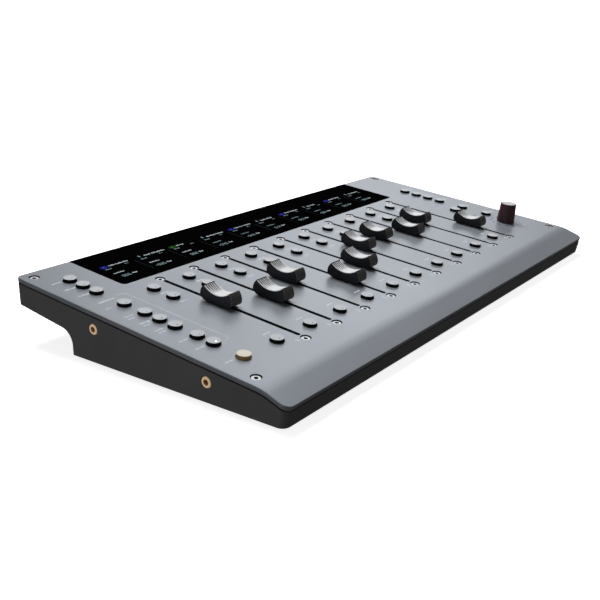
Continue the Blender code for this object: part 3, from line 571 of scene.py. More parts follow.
def make_legends():
    bm = bmesh.new()
    for number, rows in enumerate(LEFT_LEGENDS):
        _, s = key_discs(f"left_key_{number + 1:02d}")[0]
        for row, lengths in enumerate(rows):
            rise = LEFT_LEGEND_RISE + (len(rows) - 1 - 2 * row) * LEGEND_SPACING / 2
            dashes(bm, LEFT_LEGEND_X, s + rise, lengths)
    right_keys = [key_discs(node)[0] for node in KEY_NODES if node.startswith("right_key_")]
    column_x = max(x for x, _ in right_keys)
    for x, s in right_keys:
        if x > column_x - KEY_HOLE_RADIUS:
            dashes(bm, x + RIGHT_LEGEND_OFFSET, s, RIGHT_LEGEND)
    for number, fader_x in enumerate(FADER_X):
        lower_x, lower_s = key_discs(f"lower_key_{number + 1:02d}")[0]
        for _, s in key_discs(f"upper_keys_{number + 1:02d}"):
            dashes(bm, lower_x + UPPER_LEGEND_OFFSET[0], s + UPPER_LEGEND_OFFSET[1], UPPER_LEGEND)
        dashes(bm, lower_x + LOWER_LEGEND_OFFSET[0], lower_s + LOWER_LEGEND_OFFSET[1], LOWER_LEGEND)
        stroke(bm, [(fader_x + FADER_TICK_OFFSET, s) for s in FADER_TICK_S], FADER_TICK_WIDTH)
    dashes(bm, *GROUP_LEGEND_PLACE, GROUP_LEGEND)
    # the bracket that ties the left column's keys together
    front_arm, rear_arm = BRACKET_ARMS
    front_s, rear_s = BRACKET_S
    turn_x = BRACKET_X - BRACKET_RADIUS
    path = [(BRACKET_X - rear_arm, rear_s)]
    path += arc((turn_x, rear_s - BRACKET_RADIUS), BRACKET_RADIUS, 90, 0, 8)
    path += arc((turn_x, front_s + BRACKET_RADIUS), BRACKET_RADIUS, 0, -90, 8)
    path += [(BRACKET_X - front_arm, front_s)]
    stroke(bm, path, BRACKET_WIDTH)
    # the ring of dots round the knob, its two pale marks in front, and a small mark by its key
    for i in range(KNOB_DOTS):
        angle = math.radians(KNOB_DOTS_START + KNOB_DOTS_STEP * i)
        x = KNOB_X + KNOB_DOTS_RING * math.cos(angle)
        s = KNOB_S + KNOB_DOTS_RING * math.sin(angle)
        dot = circle(KNOB_DOT_RADIUS, PRINT_FLOOR, 16, x, s)
        add_prism(bm, dot, (0, 0, PRINT_TOP - PRINT_FLOOR), 1)
    for s in KNOB_MARKS_S:
        stroke(bm, [(KNOB_X + x, s) for x in KNOB_MARKS_X], LEGEND_WIDTH)
    stroke(bm, [(x, DARK_MARK_S) for x in DARK_MARK_X], DARK_MARK_WIDTH, 1)
    legends = new_object("panel_legends", bm, [PRINT, PRINT_DARK], PANEL)
    hand_in(legends, "case", "panel")


# ---- screws ----
def hexagon(apothem, n, x, s):
    """A hexagon with as many points as a circle has, so that the two can be lofted."""
    loop = []
    for i in range(ROUND_SIDES):
        angle = 2 * math.pi * i / ROUND_SIDES
        folded = (angle + math.pi / 6) % (math.pi / 3) - math.pi / 6
        radius = apothem / math.cos(folded)
        loop.append((x + radius * math.cos(angle), s + radius * math.sin(angle), n))
    return loop


def make_screws():
    """Socket-head screws, each in its own recess in the panel."""
    head = [(SCREW_HEAD_RADIUS, 0.02 * MM - SCREW_RECESS_DEPTH)]
    head += [(SCREW_HEAD_RADIUS - inset, n) for inset, n in rounding(SCREW_HEAD_EDGE, 3, SCREW_HEAD_N)]
    socket = [(SOCKET_APOTHEM + SOCKET_CHAMFER, SCREW_HEAD_N),
              (SOCKET_APOTHEM, SCREW_HEAD_N - SOCKET_CHAMFER), (SOCKET_APOTHEM, SCREW_HEAD_N - SOCKET_DEPTH)]
    bm = bmesh.new()
    for x, s in screw_places():
        loops = [circle(radius, n, x=x, s=s) for radius, n in head]
        loops += [hexagon(apothem, n, x, s) for apothem, n in socket]
        # the socket's wall and floor take the painted shade
        loft(bm, loops, [0] * (len(loops) - 2) + [1])
    screws = new_object("panel_screws", bm, [STEEL, SOCKET_PAINTED_SHADE], PANEL)
    hand_in(screws, "case", "fader_mechanism")


# ---- chassis ----
def panel_line(drop, steps=BEND_STEPS):
    """The panel's top face seen from the side, rear to front, lowered along its normal, as (y, z)."""
    rear_s = (DEPTH / 2 - PANEL.translation.y) / math.cos(TILT)
    points = [(rear_s, -drop), (BEND_START_S, -drop)]
    for i in range(1, steps + 1):
        angle = BEND_ANGLE * i / steps
        points.append((BEND_START_S - (BEND_RADIUS - drop) * math.sin(angle),
                       (BEND_RADIUS - drop) * math.cos(angle) - BEND_RADIUS))
    world = [PANEL @ Vector((0.0, s, n)) for s, n in points]
    line = [(p.y, p.z) for p in world]
    line[0] = (DEPTH / 2, line[0][1] + (DEPTH / 2 - line[0][0]) * math.tan(TILT))
    slope = math.tan(TILT + BEND_ANGLE)
    y, z = line[-1]
    run = (y + DEPTH / 2 - (panel_front_z() - z) * FRONT_LEAN) / (1 - slope * FRONT_LEAN)
    line.append((y - run, z - run * slope))
    return line


def panel_front_z():
    """Height of the panel's top face at its front edge."""
    end = PANEL @ Vector((0.0, BEND_START_S - BEND_RADIUS * math.sin(BEND_ANGLE),
                          -BEND_RADIUS * (1 - math.cos(BEND_ANGLE))))
    return end.z - (end.y + DEPTH / 2) * math.tan(TILT + BEND_ANGLE)


def chassis_profile(drop, inset):
    """Side outline of the chassis as (y, z): its top drops below the panel, its walls are set in."""
    top = panel_line(drop)
    rear = DEPTH / 2 - inset
    top[0] = (rear, top[0][1] - inset * math.tan(TILT))
    top[-1] = (top[-1][0] + inset, top[-1][1] + inset * math.tan(TILT + BEND_ANGLE))
    floor = CHASSIS_FLOOR_Z + inset
    underside = REAR_FACE_BOTTOM_Z + inset
    base_rear = BASE_REAR_Y - inset
    radius = OVERHANG_ARC_RADIUS + inset
    arc_z = underside - (rear - base_rear - radius) * OVERHANG_RISE - radius
    hollow = arc((base_rear + radius, arc_z), radius, 180, 95, 14)
    front = (-DEPTH / 2 + (panel_front_z() - floor) * FRONT_LEAN + inset, floor)
    return top + [front, (base_rear, floor)] + hollow + [(rear, underside)]


def profile_body(profile, half_width):
    bm = bmesh.new()
    add_prism(bm, [(-half_width, y, z) for y, z in profile], (2 * half_width, 0.0, 0.0))
    return bm


def plan_body(inset):
    """The case's plan as a tall body that trims others, its round front corners leaning with the wall."""
    high = (WIDTH / 2 - inset, DEPTH / 2 - inset)
    radii = [radius - inset for radius in [FRONT_CORNER_RADIUS] * 2 + [REAR_CORNER_RADIUS] * 2]
    loops = []
    for z in (-OVERRUN, WIDTH / 4):
        front = -DEPTH / 2 + (panel_front_z() - z) * FRONT_LEAN
        loops.append(rounded_rectangle((-WIDTH / 2 + inset, front + inset), high, radii, z))
    bm = bmesh.new()
    loft(bm, loops)
    return new_cutter(bm)


INSERT_RADIUS = 3.35 * MM
INSERT_HOLE_RADIUS = 1.8 * MM
INSERT_YZ = [(-53.4 * MM, 13.2 * MM), (37.9 * MM, 22.7 * MM)]
FOOT_NODES = ("front_foot_strip", "rear_foot_strip")
FOOT_CORNER = 2.0 * MM
FOOT_EDGE = 0.4 * MM
BLOCK_LOW, BLOCK_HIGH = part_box("rear_connector_block")


def side_body(bm, profile, y, z):
    """Add a body turned about the X direction at (y, z), through (radius, x) pairs."""
    loft(bm, [[(x, y + a, z + b) for a, b, _ in circle(radius, 0.0)] for radius, x in profile])


def chassis_openings():
    """Holes for the side inserts and room for the foot strips and the connector block."""
    bm = bmesh.new()
    radius = INSERT_RADIUS + CLEARANCE
    for side in (-1, 1):
        face = side * WIDTH / 2
        profile = [(radius, face - side * (WALL + OVERRUN)), (radius, face - side * CLEARANCE),
                   (radius + CLEARANCE, face), (radius + CLEARANCE, face + side * OVERRUN)]
        for y, z in INSERT_YZ:
            side_body(bm, profile, y, z)
    for node in FOOT_NODES:
        low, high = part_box(node)
        add_box(bm, (low.x - CLEARANCE, low.y - CLEARANCE, -OVERRUN),
                (high.x + CLEARANCE, high.y + CLEARANCE, high.z + CLEARANCE))
    add_box(bm, (BLOCK_LOW.x - CLEARANCE, BLOCK_LOW.y - CLEARANCE, BLOCK_LOW.z - CLEARANCE),
            (BLOCK_HIGH.x + CLEARANCE, BASE_REAR_Y + OVERHANG_ARC_RADIUS, BLOCK_HIGH.z + CLEARANCE))
    return new_cutter(bm)


def make_chassis():
    outer = profile_body(chassis_profile(PANEL_THICKNESS + SHADOW_GAP, 0.0), WIDTH / 2)
    chassis = new_object("chassis_shell", outer, [POWDER])
    combine(chassis, plan_body(0.0), "INTERSECT")
    apply_modifiers(chassis)
    edges = chassis.modifiers.new("edges", "BEVEL")
    edges.limit_method = "ANGLE"
    edges.angle_limit = math.radians(35)
    edges.width = CHASSIS_EDGE_RADIUS
    edges.segments = 4
    apply_modifiers(chassis)
    rim_profile = chassis_profile(PANEL_THICKNESS + CLEARANCE, RIM_INSET)
    rim = new_cutter(profile_body(rim_profile, WIDTH / 2 - RIM_INSET))
    combine(rim, plan_body(RIM_INSET), "INTERSECT")
    apply_modifiers(rim)
    combine(chassis, rim, "UNION")
    hollow = new_cutter(profile_body(chassis_profile(PANEL_THICKNESS - OVERRUN, WALL), WIDTH / 2 - WALL))
    combine(hollow, plan_body(WALL), "INTERSECT")
    apply_modifiers(hollow)
    combine(chassis, hollow, "DIFFERENCE")
    combine(chassis, chassis_openings(), "DIFFERENCE")
    apply_modifiers(chassis)
    finish(chassis, "case", "chassis", "base_chassis")


def make_feet():
    """Two rubber strips with a rounded lower edge."""
    for node in FOOT_NODES:
        low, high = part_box(node)
        bm = bmesh.new()
        edge = rounding(FOOT_EDGE, 3, low.z, -1)[::-1] + [(0.0, high.z)]
        loft(bm, [rounded_rectangle(low, high, [FOOT_CORNER] * 4, n, inset, 5) for inset, n in edge])
        foot = new_object(node.replace("_strip", "_pad"), bm, [RUBBER])
        finish(foot, "case", "feet", node)


# ---- threaded side inserts ----
THREAD_PITCH = 0.7 * MM
THREAD_DEPTH = 0.22 * MM
BORE_DEPTH = 8.0 * MM
BORE_CHAMFER = 0.15 * MM
BOSS_CHAMFER = 0.35 * MM
BOSS_ROOT = 2.0 * MM                # how far a boss reaches into its bar
NUT_BAR_HALF_HEIGHT = 3.5 * MM
NUT_BAR_OVERRUN = 6.0 * MM


def bore_profile(face, side):
    """A threaded bore's (radius, x) pairs, from outside the face inwards."""
    mouth = INSERT_HOLE_RADIUS + BORE_CHAMFER
    profile = [(mouth, face + side * OVERRUN), (mouth, face)]
    depth = BORE_CHAMFER
    while depth < BORE_DEPTH - THREAD_PITCH:
        profile += [(INSERT_HOLE_RADIUS - THREAD_DEPTH, face - side * depth),
                    (INSERT_HOLE_RADIUS, face - side * (depth + THREAD_PITCH / 2))]
        depth += THREAD_PITCH
    return profile


def make_inserts():
    """On each side, two threaded brass bosses on the bar that ties them together inside the wall."""
    (front_y, front_z), (rear_y, rear_z) = INSERT_YZ
    along = Vector((0.0, rear_y - front_y, rear_z - front_z)).normalized()
    across = Vector((0.0, -along.z, along.y)) * NUT_BAR_HALF_HEIGHT
    for side, node in ((-1, "side_inserts_left"), (1, "side_inserts_right")):
        low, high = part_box(node)
        face, bar_inner = (low.x, high.x) if side < 0 else (high.x, low.x)
        wall_inner = side * (WIDTH / 2 - WALL - CLEARANCE)
        front = Vector((wall_inner, front_y, front_z)) - along * NUT_BAR_OVERRUN
        rear = Vector((wall_inner, rear_y, rear_z)) + along * NUT_BAR_OVERRUN
        bm = bmesh.new()
        add_prism(bm, [front - across, rear - across, rear + across, front + across],
                  (bar_inner - wall_inner, 0, 0))
        bar = new_object(f"{node}_threads", bm, [BRASS_PAINTED_GLINT, BORE_SHADE])
        bosses = bmesh.new()
        bores = bmesh.new()
        for y, z in INSERT_YZ:
            side_body(bosses, [(INSERT_RADIUS, wall_inner - side * BOSS_ROOT),
                               (INSERT_RADIUS, face - side * BOSS_CHAMFER),
                               (INSERT_RADIUS - BOSS_CHAMFER, face)], y, z)
            side_body(bores, bore_profile(face, side), y, z)
        combine(bar, new_cutter(bosses), "UNION")
        # the bore faces take the darker brass of painted shade
        combine(bar, new_cutter(bores, [BORE_SHADE]), "DIFFERENCE")
        apply_modifiers(bar)
        finish(bar, "case", "inserts", node)


# ---- display ----
CELL_OFFSET = -17.4 * MM            # a cell's left end from its fader's centre line
TEXT_N = 0.02 * MM
DIGIT_SIZE = (1.5 * MM, 2.7 * MM)
DIGIT_STROKE = 0.36 * MM
DIGIT_GAP = 0.75 * MM
DIGIT_DOT_STEP = 0.35 * MM
LETTER_BAR = 0.32                   # a letter stroke's width as a share of its height
SEGMENTS = {"0": "abcdef", "1": "bc", "2": "abged", "3": "abgcd", "4": "fgbc", "5": "afgcd",
            "6": "afgedc", "7": "abc", "8": "abcdefg", "9": "abcdfg", "-": "g", " ": ""}


def screen_patch(bm, x, s, width, height, tint, radius=0.3 * MM):
    """A lit patch on the glass, by its left end and its middle height."""
    low = (x, s - height / 2)
    high = (x + width, s + height / 2)
    radius = min(radius, width / 2, height / 2)
    loft(bm, [rounded_rectangle(low, high, [radius] * 4, n, steps=3) for n in (-0.01 * MM, TEXT_N)],
         [SCREEN_TINTS.index(tint)])


def digits(bm, text, x, s, tint):
    """Seven-segment figures, from the left end of the first; a dot is a small square."""
    width, height = DIGIT_SIZE
    for character in text:
        if character == ".":
            screen_patch(bm, x - DIGIT_DOT_STEP, s - height / 2 + DIGIT_STROKE / 2, DIGIT_STROKE,
                         DIGIT_STROKE, tint)
            x += DIGIT_DOT_STEP
            continue
        for segment in SEGMENTS[character]:
            if segment in "agd":
                middle = {"a": height / 2, "g": 0.0, "d": -height / 2}[segment]
                screen_patch(bm, x, s + middle, width, DIGIT_STROKE, tint, 0.1 * MM)
            else:
                left = x if segment in "ef" else x + width
                middle = height / 4 if segment in "bf" else -height / 4
                screen_patch(bm, left - DIGIT_STROKE / 2, s + middle, DIGIT_STROKE, height / 2, tint,
                             0.1 * MM)
        x += width + DIGIT_GAP


def word_rows(bm, x, s, words, height, tint):
    """Words of a read-out as rows of fine upright bars, tall ones among low ones."""
    bar = LETTER_BAR * height
    for word in words:
        for letter in range(word):
            tall = letter == 0 or (letter + word) % 3 == 0
            rise = height if tall else 0.7 * height
            middle = s - height / 2 + rise / 2
            screen_patch(bm, x, middle, bar, rise, tint, 0.1 * MM)
            if letter % 2:
                screen_patch(bm, x + bar, s - height / 2 + 0.1 * height, bar, 0.2 * height, tint, 0.1 * MM)
            x += 2.3 * bar
        x += 2.0 * bar


CHANNEL_TINTS = ["blue", None, "green", None, "blue", None, "blue", None, "blue", None]
CHANNEL_NAMES = [(4, 9), (5, 10), (2, 3), (8, 6), (4, 3, 7), (6, 5), (5, 8), (4, 4), (7, 5), (3, 8)]
BRIGHT_LABELS = 3                   # how many channels, from the left, have a bright label
NAME_ROW = (7.2, 159.4, 1.7)        # rows of words: x from the cell's left end, s and height, in mm
LABEL_ROW = (0.4, 146.6, 1.4)
PLAIN_ROWS = [((0.6, 155.0, 1.5), (5,), "teal"), ((18.4, 155.8, 1.2), (2, 1), "teal"),
              ((11.2, 140.2, 1.9), (3,), "white")]
LEVEL_S = 139.8 * MM
# patches of a cell, in mm: x from its left end, s, width, height and corner radius
TAG_PATCH = (-1.0, 158.8, 7.4, 4.4, 2.2)
TAG_CORE_PATCH = (1.4, 159.2, 2.0, 1.5, 0.75)
CURSOR_PATCH = (2.4, 160.0, 1.1, 3.0, 0.5)
DIVIDER_PATCH = (-4.7, 147.0, 0.2, 19.0, 0.1)


def cell_patch(bm, left, patch, tint):
    x, s, width, height, radius = [value * MM for value in patch]
    screen_patch(bm, left + x, s, width, height, tint, radius)


def make_readouts():
    """One read-out over each fader: a colour tag, name, number, label and level."""
    bm = bmesh.new()
    for index, (fader_x, rest) in enumerate(zip(FADER_X, CAP_REST_S)):
        left = fader_x + CELL_OFFSET
        tint = CHANNEL_TINTS[index]
        if tint:
            cell_patch(bm, left, TAG_PATCH, tint)
            cell_patch(bm, left, TAG_CORE_PATCH, f"{tint}_core")
        else:
            cell_patch(bm, left, CURSOR_PATCH, "teal")
        label_tint = "white" if index < BRIGHT_LABELS else "teal"
        rows = [(NAME_ROW, CHANNEL_NAMES[index], "white"), (LABEL_ROW, (9,), label_tint)] + PLAIN_ROWS
        for (x, s, height), words, row_tint in rows:
            word_rows(bm, left + x * MM, s * MM, words, height * MM, row_tint)
        level = (rest - 65 * MM) / MM / 4
        digits(bm, f"{level:+05.1f}".replace("+", " "), left, LEVEL_S, "teal")
        if index:
            cell_patch(bm, left, DIVIDER_PATCH, "grey")
    readouts = new_object("display_readouts", bm, SCREEN_GLOW, PANEL)
    hand_in(readouts, "case", "display_glass")


def make_glass():
    bm = bmesh.new()
    edge = [(0.0, GLASS_LOW.z)] + rounding(GLASS_EDGE, 3, GLASS_HIGH.z)
    loft(bm, [glass_loop(n, inset=inset) for inset, n in edge])
    glass = new_object("display_glass_pane", bm, [GLASS], PANEL)
    finish(glass, "case", "display_glass", "display_glass")


# ---- fader caps ----
CAP_WIDTH = 10.4 * MM
CAP_EDGE = 0.4 * MM
CAP_HORN = (10.3 * MM, 10.6 * MM)
CAP_SCOOP_N = 6.9 * MM
CAP_END = [(11.6 * MM, 9.3 * MM), (12.6 * MM, 7.6 * MM), (13.15 * MM, 5.9 * MM), (13.3 * MM, 4.4 * MM),
           (13.0 * MM, 3.0 * MM), (12.2 * MM, 2.0 * MM), (9.6 * MM, 0.5 * MM)]
CAP_CORNER = 0.35 * MM               # how far the flanks' ends are rounded back
GRIP_THICKNESS = 0.5 * MM
GRIP_FRONT_END = 0.15 * MM
GRIP_REAR_END = 0.45 * MM
GRIP_STATIONS = 52
GRIP_STEPS = 30
GROOVE_PITCH = 1.8 * MM
GROOVE_HALF_WIDTH = 0.5 * MM
GROOVE_DEPTH = 0.5 * MM
GROOVE_DARK = 0.12
GROOVE_REACH = 0.45
LEVER_WIDTH = 8.0 * MM
LEVER_THICKNESS = 1.2 * MM
LEVER_TIP_N = -9.5 * MM
LEVER_CORNER = 0.4 * MM
LEVER_EDGE = 0.3 * MM
LEVER_SUNK = 0.5 * MM               # how far the lever's top reaches into the cap

SCOOP_SAG = CAP_HORN[1] - CAP_SCOOP_N
SCOOP_RADIUS = (CAP_HORN[0] ** 2 + SCOOP_SAG ** 2) / (2 * SCOOP_SAG)


def scoop_n(s, drop=0.0):
    """Height of the cap's scooped top at s, lowered by a distance."""
    radius = SCOOP_RADIUS + drop
    return CAP_SCOOP_N + SCOOP_RADIUS - math.sqrt(radius ** 2 - s ** 2)


def inset_loop(points, share):
    """A closed loop of (s, n) points moved inwards by a share of each one's edge rounding: wide
    on the cap's ends and narrow elsewhere. The loop runs anticlockwise."""
    moved = []
    for i, point in enumerate(points):
        before = (Vector(point) - Vector(points[i - 1])).normalized()
        after = (Vector(points[(i + 1) % len(points)]) - Vector(point)).normalized()
        inward = Vector((-before.y - after.y, before.x + after.x))
        rounding_here = CAP_CORNER if abs(point[0]) > CAP_HORN[0] + 0.1 * MM else CAP_EDGE
        scale = share * rounding_here / max(0.4, (inward.length / 2) ** 2) / 2
        moved.append(tuple(Vector(point) + inward * scale))
    return moved


def cap_outline():
    """The cap's side, anticlockwise from the low front end round the rear to the recessed scoop."""
    front, rear = -CAP_HORN[0] + GRIP_FRONT_END, CAP_HORN[0] - GRIP_REAR_END
    steps = 20
    scoop = [front + (rear - front) * i / steps for i in range(steps + 1)]
    hollow = [(s, scoop_n(s, GRIP_THICKNESS)) for s in scoop]
    end = [(-s, n) for s, n in CAP_END[::-1]] + [(-CAP_HORN[0], CAP_HORN[1])]
    clockwise = end + hollow + [CAP_HORN] + CAP_END
    return clockwise[::-1]


def make_cap_mesh():
    """The black body: a bulging block with rounded flanks, hollowed to take the silver grip."""
    bm = bmesh.new()
    outline = cap_outline()
    half = CAP_WIDTH / 2
    shares = [(1 - math.cos(a), 1 - math.sin(a)) for a in [math.pi / 8 * k for k in range(5)]]
    loft(bm, [[(side * (half - CAP_EDGE * depth), s, n) for s, n in inset_loop(outline, inset)]
              for side, order in ((-1, shares), (1, shares[::-1])) for depth, inset in order])
    for face in bm.faces:
        x, s, n = face.calc_center_median()
        if s < -CAP_HORN[0] and n > CAP_END[-3][1]:
            # the flat front facet takes the painted light
            if abs(x) < half - CAP_EDGE:
                face.material_index = 1
            # the facet's rounded edges take the painted highlight
            elif abs(x) < half - CAP_EDGE / 4:
                face.material_index = 2
    return new_object("cap_body_pattern", bm, [CAP_BLACK, CAP_FACET_PAINTED_LIGHT, CAP_EDGE_PAINTED_HIGHLIGHT])


def groove(x, s):
    """How deep the grip is cut at a point: five grooves that run out down the rear of the scoop."""
    nearest = min(abs(x - k * GROOVE_PITCH) for k in range(-2, 3))
    if nearest >= GROOVE_HALF_WIDTH:
        return 0.0
    share = (CAP_HORN[0] - s) / (2 * CAP_HORN[0])
    fade = max(0.0, 1 - share / GROOVE_REACH)
    return GROOVE_DEPTH * fade * math.cos(math.pi / 2 * nearest / GROOVE_HALF_WIDTH) ** 2


def make_grip_mesh():
    """The satin silver finger plate that lines the scoop."""
    bm = bmesh.new()
    half = CAP_WIDTH / 2 - 0.08 * MM
    front, rear = -CAP_HORN[0] + GRIP_FRONT_END + 0.03 * MM, CAP_HORN[0] - GRIP_REAR_END - 0.03 * MM
    places = [front + (rear - front) * i / GRIP_STEPS for i in range(GRIP_STEPS + 1)]
    edge = 0.25 * MM
    loops = []
    for station in range(GRIP_STATIONS + 1):
        x = -half + 2 * half * station / GRIP_STATIONS
        outer = max(0.0, abs(x) - half + edge)
        round_off = edge - math.sqrt(max(0.0, edge ** 2 - outer ** 2))
        under = [(x, s, scoop_n(s, GRIP_THICKNESS) + 0.02 * MM) for s in places]
        over = [(x, s, scoop_n(s) - groove(x, s) - round_off) for s in places[::-1]]
        loops.append(under + over)
    loft(bm, loops)
    for face in bm.faces:
        x, s, n = face.calc_center_median()
        if groove(x, s) > GROOVE_DARK * GROOVE_DEPTH and abs(n - scoop_n(s)) < GROOVE_DEPTH:
            face.material_index = 1
    return new_object("cap_grip_pattern", bm, [CAP_SILVER, CAP_BLACK], smooth_angle=50)


def make_lever_mesh():
    bm = bmesh.new()
    high = (LEVER_THICKNESS / 2, LEVER_WIDTH / 2)
    low = (-high[0], -high[1])
    edge = rounding(LEVER_EDGE, 2, LEVER_TIP_N, -1)[::-1] + [(0.0, CAP_END[-1][1] + LEVER_SUNK)]
    loft(bm, [rounded_rectangle(low, high, [LEVER_CORNER] * 4, n, inset, 4) for inset, n in edge])
    return new_object("cap_lever_pattern", bm, [ZINC])


def place_copy(pattern, name, matrix):
    copy = bpy.data.objects.new(name, pattern.data.copy())
    copy.data.transform(matrix)
    bpy.context.scene.collection.objects.link(copy)
    return copy


def make_fader_caps():
    patterns = {"body": make_cap_mesh(), "grip": make_grip_mesh(), "lever": make_lever_mesh()}
    slots = {"body": "fader_caps", "grip": "fader_caps", "lever": "fader_mechanism"}
    for index in range(FADERS):
        node = f"fader_cap_{index + 1:02d}"
        place = PANEL @ Matrix.Translation((FADER_X[index], CAP_REST_S[index], 0.0))
        for part, pattern in patterns.items():
            piece = place_copy(pattern, f"{node}_{part}", place)
            hand_in(piece, node, slots[part], node)
    for pattern in patterns.values():
        bpy.data.objects.remove(pattern, do_unlink=True)


# ---- keys ----
KEY_RADIUS = 4.35 * MM
KEY_TOP_N = 2.2 * MM
KEY_EDGE = 0.2 * MM
KEY_FLANGE_RADIUS = 5.8 * MM
KEY_FLANGE_N = (-4.4 * MM, -3.3 * MM)
KEY_LENS_PLACE = (-0.35 * MM, -2.0 * MM)
KEY_LENS_RADIUS = 0.55 * MM
KEY_WEB_WIDTH = 6.0 * MM
LIT_KEYS = {"left_key_01": (KEY_AMBER, KEY_CREAM, KEY_CREAM),
            "left_key_02": (KEY_BLACK, KEY_GREY, LENS_WHITE)}


def add_key_disc(bm, x, s):
    """One round key: black skirt and flange, grey top with a small lens let into it."""
    low, high = KEY_FLANGE_N
    skirt = [(KEY_FLANGE_RADIUS - KEY_EDGE, low), (KEY_FLANGE_RADIUS, low + KEY_EDGE),
             (KEY_FLANGE_RADIUS, high), (KEY_RADIUS, high)]
    top = [(KEY_RADIUS - inset, n) for inset, n in rounding(KEY_EDGE, 3, KEY_TOP_N)]
    turned(bm, skirt + top, x, s, bands=[0] * (len(skirt) + 1) + [1] * (len(top) - 2))
    lens_x, lens_s = KEY_LENS_PLACE
    lens = [(KEY_LENS_RADIUS, KEY_TOP_N - 0.1 * MM), (KEY_LENS_RADIUS, KEY_TOP_N + 0.01 * MM),
            (KEY_LENS_RADIUS - 0.06 * MM, KEY_TOP_N + 0.02 * MM)]
    turned(bm, lens, x + lens_x, s + lens_s, 20, [2, 2])


def make_keys():
    for node in KEY_NODES:
        discs = key_discs(node)
        bm = bmesh.new()
        for x, s in discs:
            add_key_disc(bm, x, s)
        if len(discs) == 2:
            (x, front), (_, rear) = discs
            low, high = KEY_FLANGE_N
            add_box(bm, (x - KEY_WEB_WIDTH / 2, front + KEY_RADIUS, low + 0.1 * MM),
                    (x + KEY_WEB_WIDTH / 2, rear - KEY_RADIUS, high - 0.1 * MM))
        materials = LIT_KEYS.get(node, (KEY_BLACK, KEY_GREY, KEY_LENS))
        ending = "caps" if len(discs) == 2 else "cap"
        caps = new_object(f"{node}_{ending}", bm, materials, PANEL)
        finish(caps, node, "keys", node)


# ---- knob ----
KNOB_BASE_RADIUS = 7.7 * MM
KNOB_TOP_RADIUS = 6.8 * MM
KNOB_N = (0.5 * MM, 16.9 * MM)
KNOB_SHAFT = (3.0 * MM, -9.0 * MM)
KNOB_SIDES = 96
KNOB_TOP_EDGE = 0.55 * MM
KNOB_LIP = 0.15 * MM                # how far the disc stands above the grip


def make_knob():
    """The tapered knob on its shaft, with a satin disc let into its top."""
    low, high = KNOB_N
    shaft_radius, shaft_tip = KNOB_SHAFT
    rim = high - KNOB_LIP
    grip = [(shaft_radius - 0.3 * MM, shaft_tip), (shaft_radius, shaft_tip + 0.3 * MM),
            (shaft_radius, low), (KNOB_BASE_RADIUS - 0.4 * MM, low),
            (KNOB_BASE_RADIUS - 0.1 * MM, low + 0.12 * MM), (KNOB_BASE_RADIUS, low + 0.5 * MM)]
    grip += [(KNOB_TOP_RADIUS - inset, n) for inset, n in rounding(KNOB_TOP_EDGE, 5, rim)]
    grip += [(KNOB_TOP_RADIUS - 0.75 * MM, rim - 0.25 * MM)]
    radius = KNOB_TOP_RADIUS - 0.7 * MM
    disc = [(radius, rim - 0.6 * MM), (radius, high - 0.25 * MM), (radius - 0.12 * MM, high - 0.08 * MM),
            (radius - 0.4 * MM, high - 0.02 * MM), (radius * 0.5, high)]
    for name, profile, material in (("grip", grip, KNOB_SKIN), ("disc", disc, KNOB_TOP)):
        bm = bmesh.new()
        turned(bm, profile, KNOB_X, KNOB_S, KNOB_SIDES)
        piece = new_object(f"volume_knob_{name}", bm, [material], PANEL)
        finish(piece, "volume_knob", "knob", "volume_knob")


# ---- rear connectors ----
BLOCK_CORNER = 0.8 * MM
INLET_X = -25.0 * MM
INLET_RADIUS = 3.2 * MM
INLET_PIN_RADIUS = 1.0 * MM
DATA_X = 15.0 * MM
DATA_SIZE = (9.0 * MM, 3.2 * MM)
TONGUE_SIZE = (6.6 * MM, 0.7 * MM)
TONGUE_CORNER = 0.3 * MM
SOCKET_REACH = 9.0 * MM
SHELL_WALL = 0.25 * MM
SHELL_LIP = 0.15 * MM
SHELL_GAP = 0.02 * MM
CONNECTOR_EDGE = 0.4 * MM
INLET_PIN_BACK = 1.0 * MM           # how far the pin and the tongue end behind the face
TONGUE_BACK = 1.2 * MM


def rear_loop(loop, y, x):
    """A loop drawn in (x, s) stood up in the rear face, at the block's middle height."""
    middle = (BLOCK_LOW.z + BLOCK_HIGH.z) / 2
    return [(x - a, y, middle + b) for a, b, _ in loop]


def rear_rectangle(size, radius, y, x, inset=0.0, steps=CORNER_STEPS):
    half = (size[0] / 2, size[1] / 2)
    loop = rounded_rectangle((-half[0], -half[1]), half, [radius] * 4, 0.0, inset, steps)
    return rear_loop(loop, y, x)


def inlet_loop(y, inset=0.0):
    return rear_loop(circle(INLET_RADIUS - inset, 0.0), y, INLET_X)


def data_loop(y, inset=0.0):
    return rear_rectangle(DATA_SIZE, DATA_SIZE[1] / 2, y, DATA_X, inset)


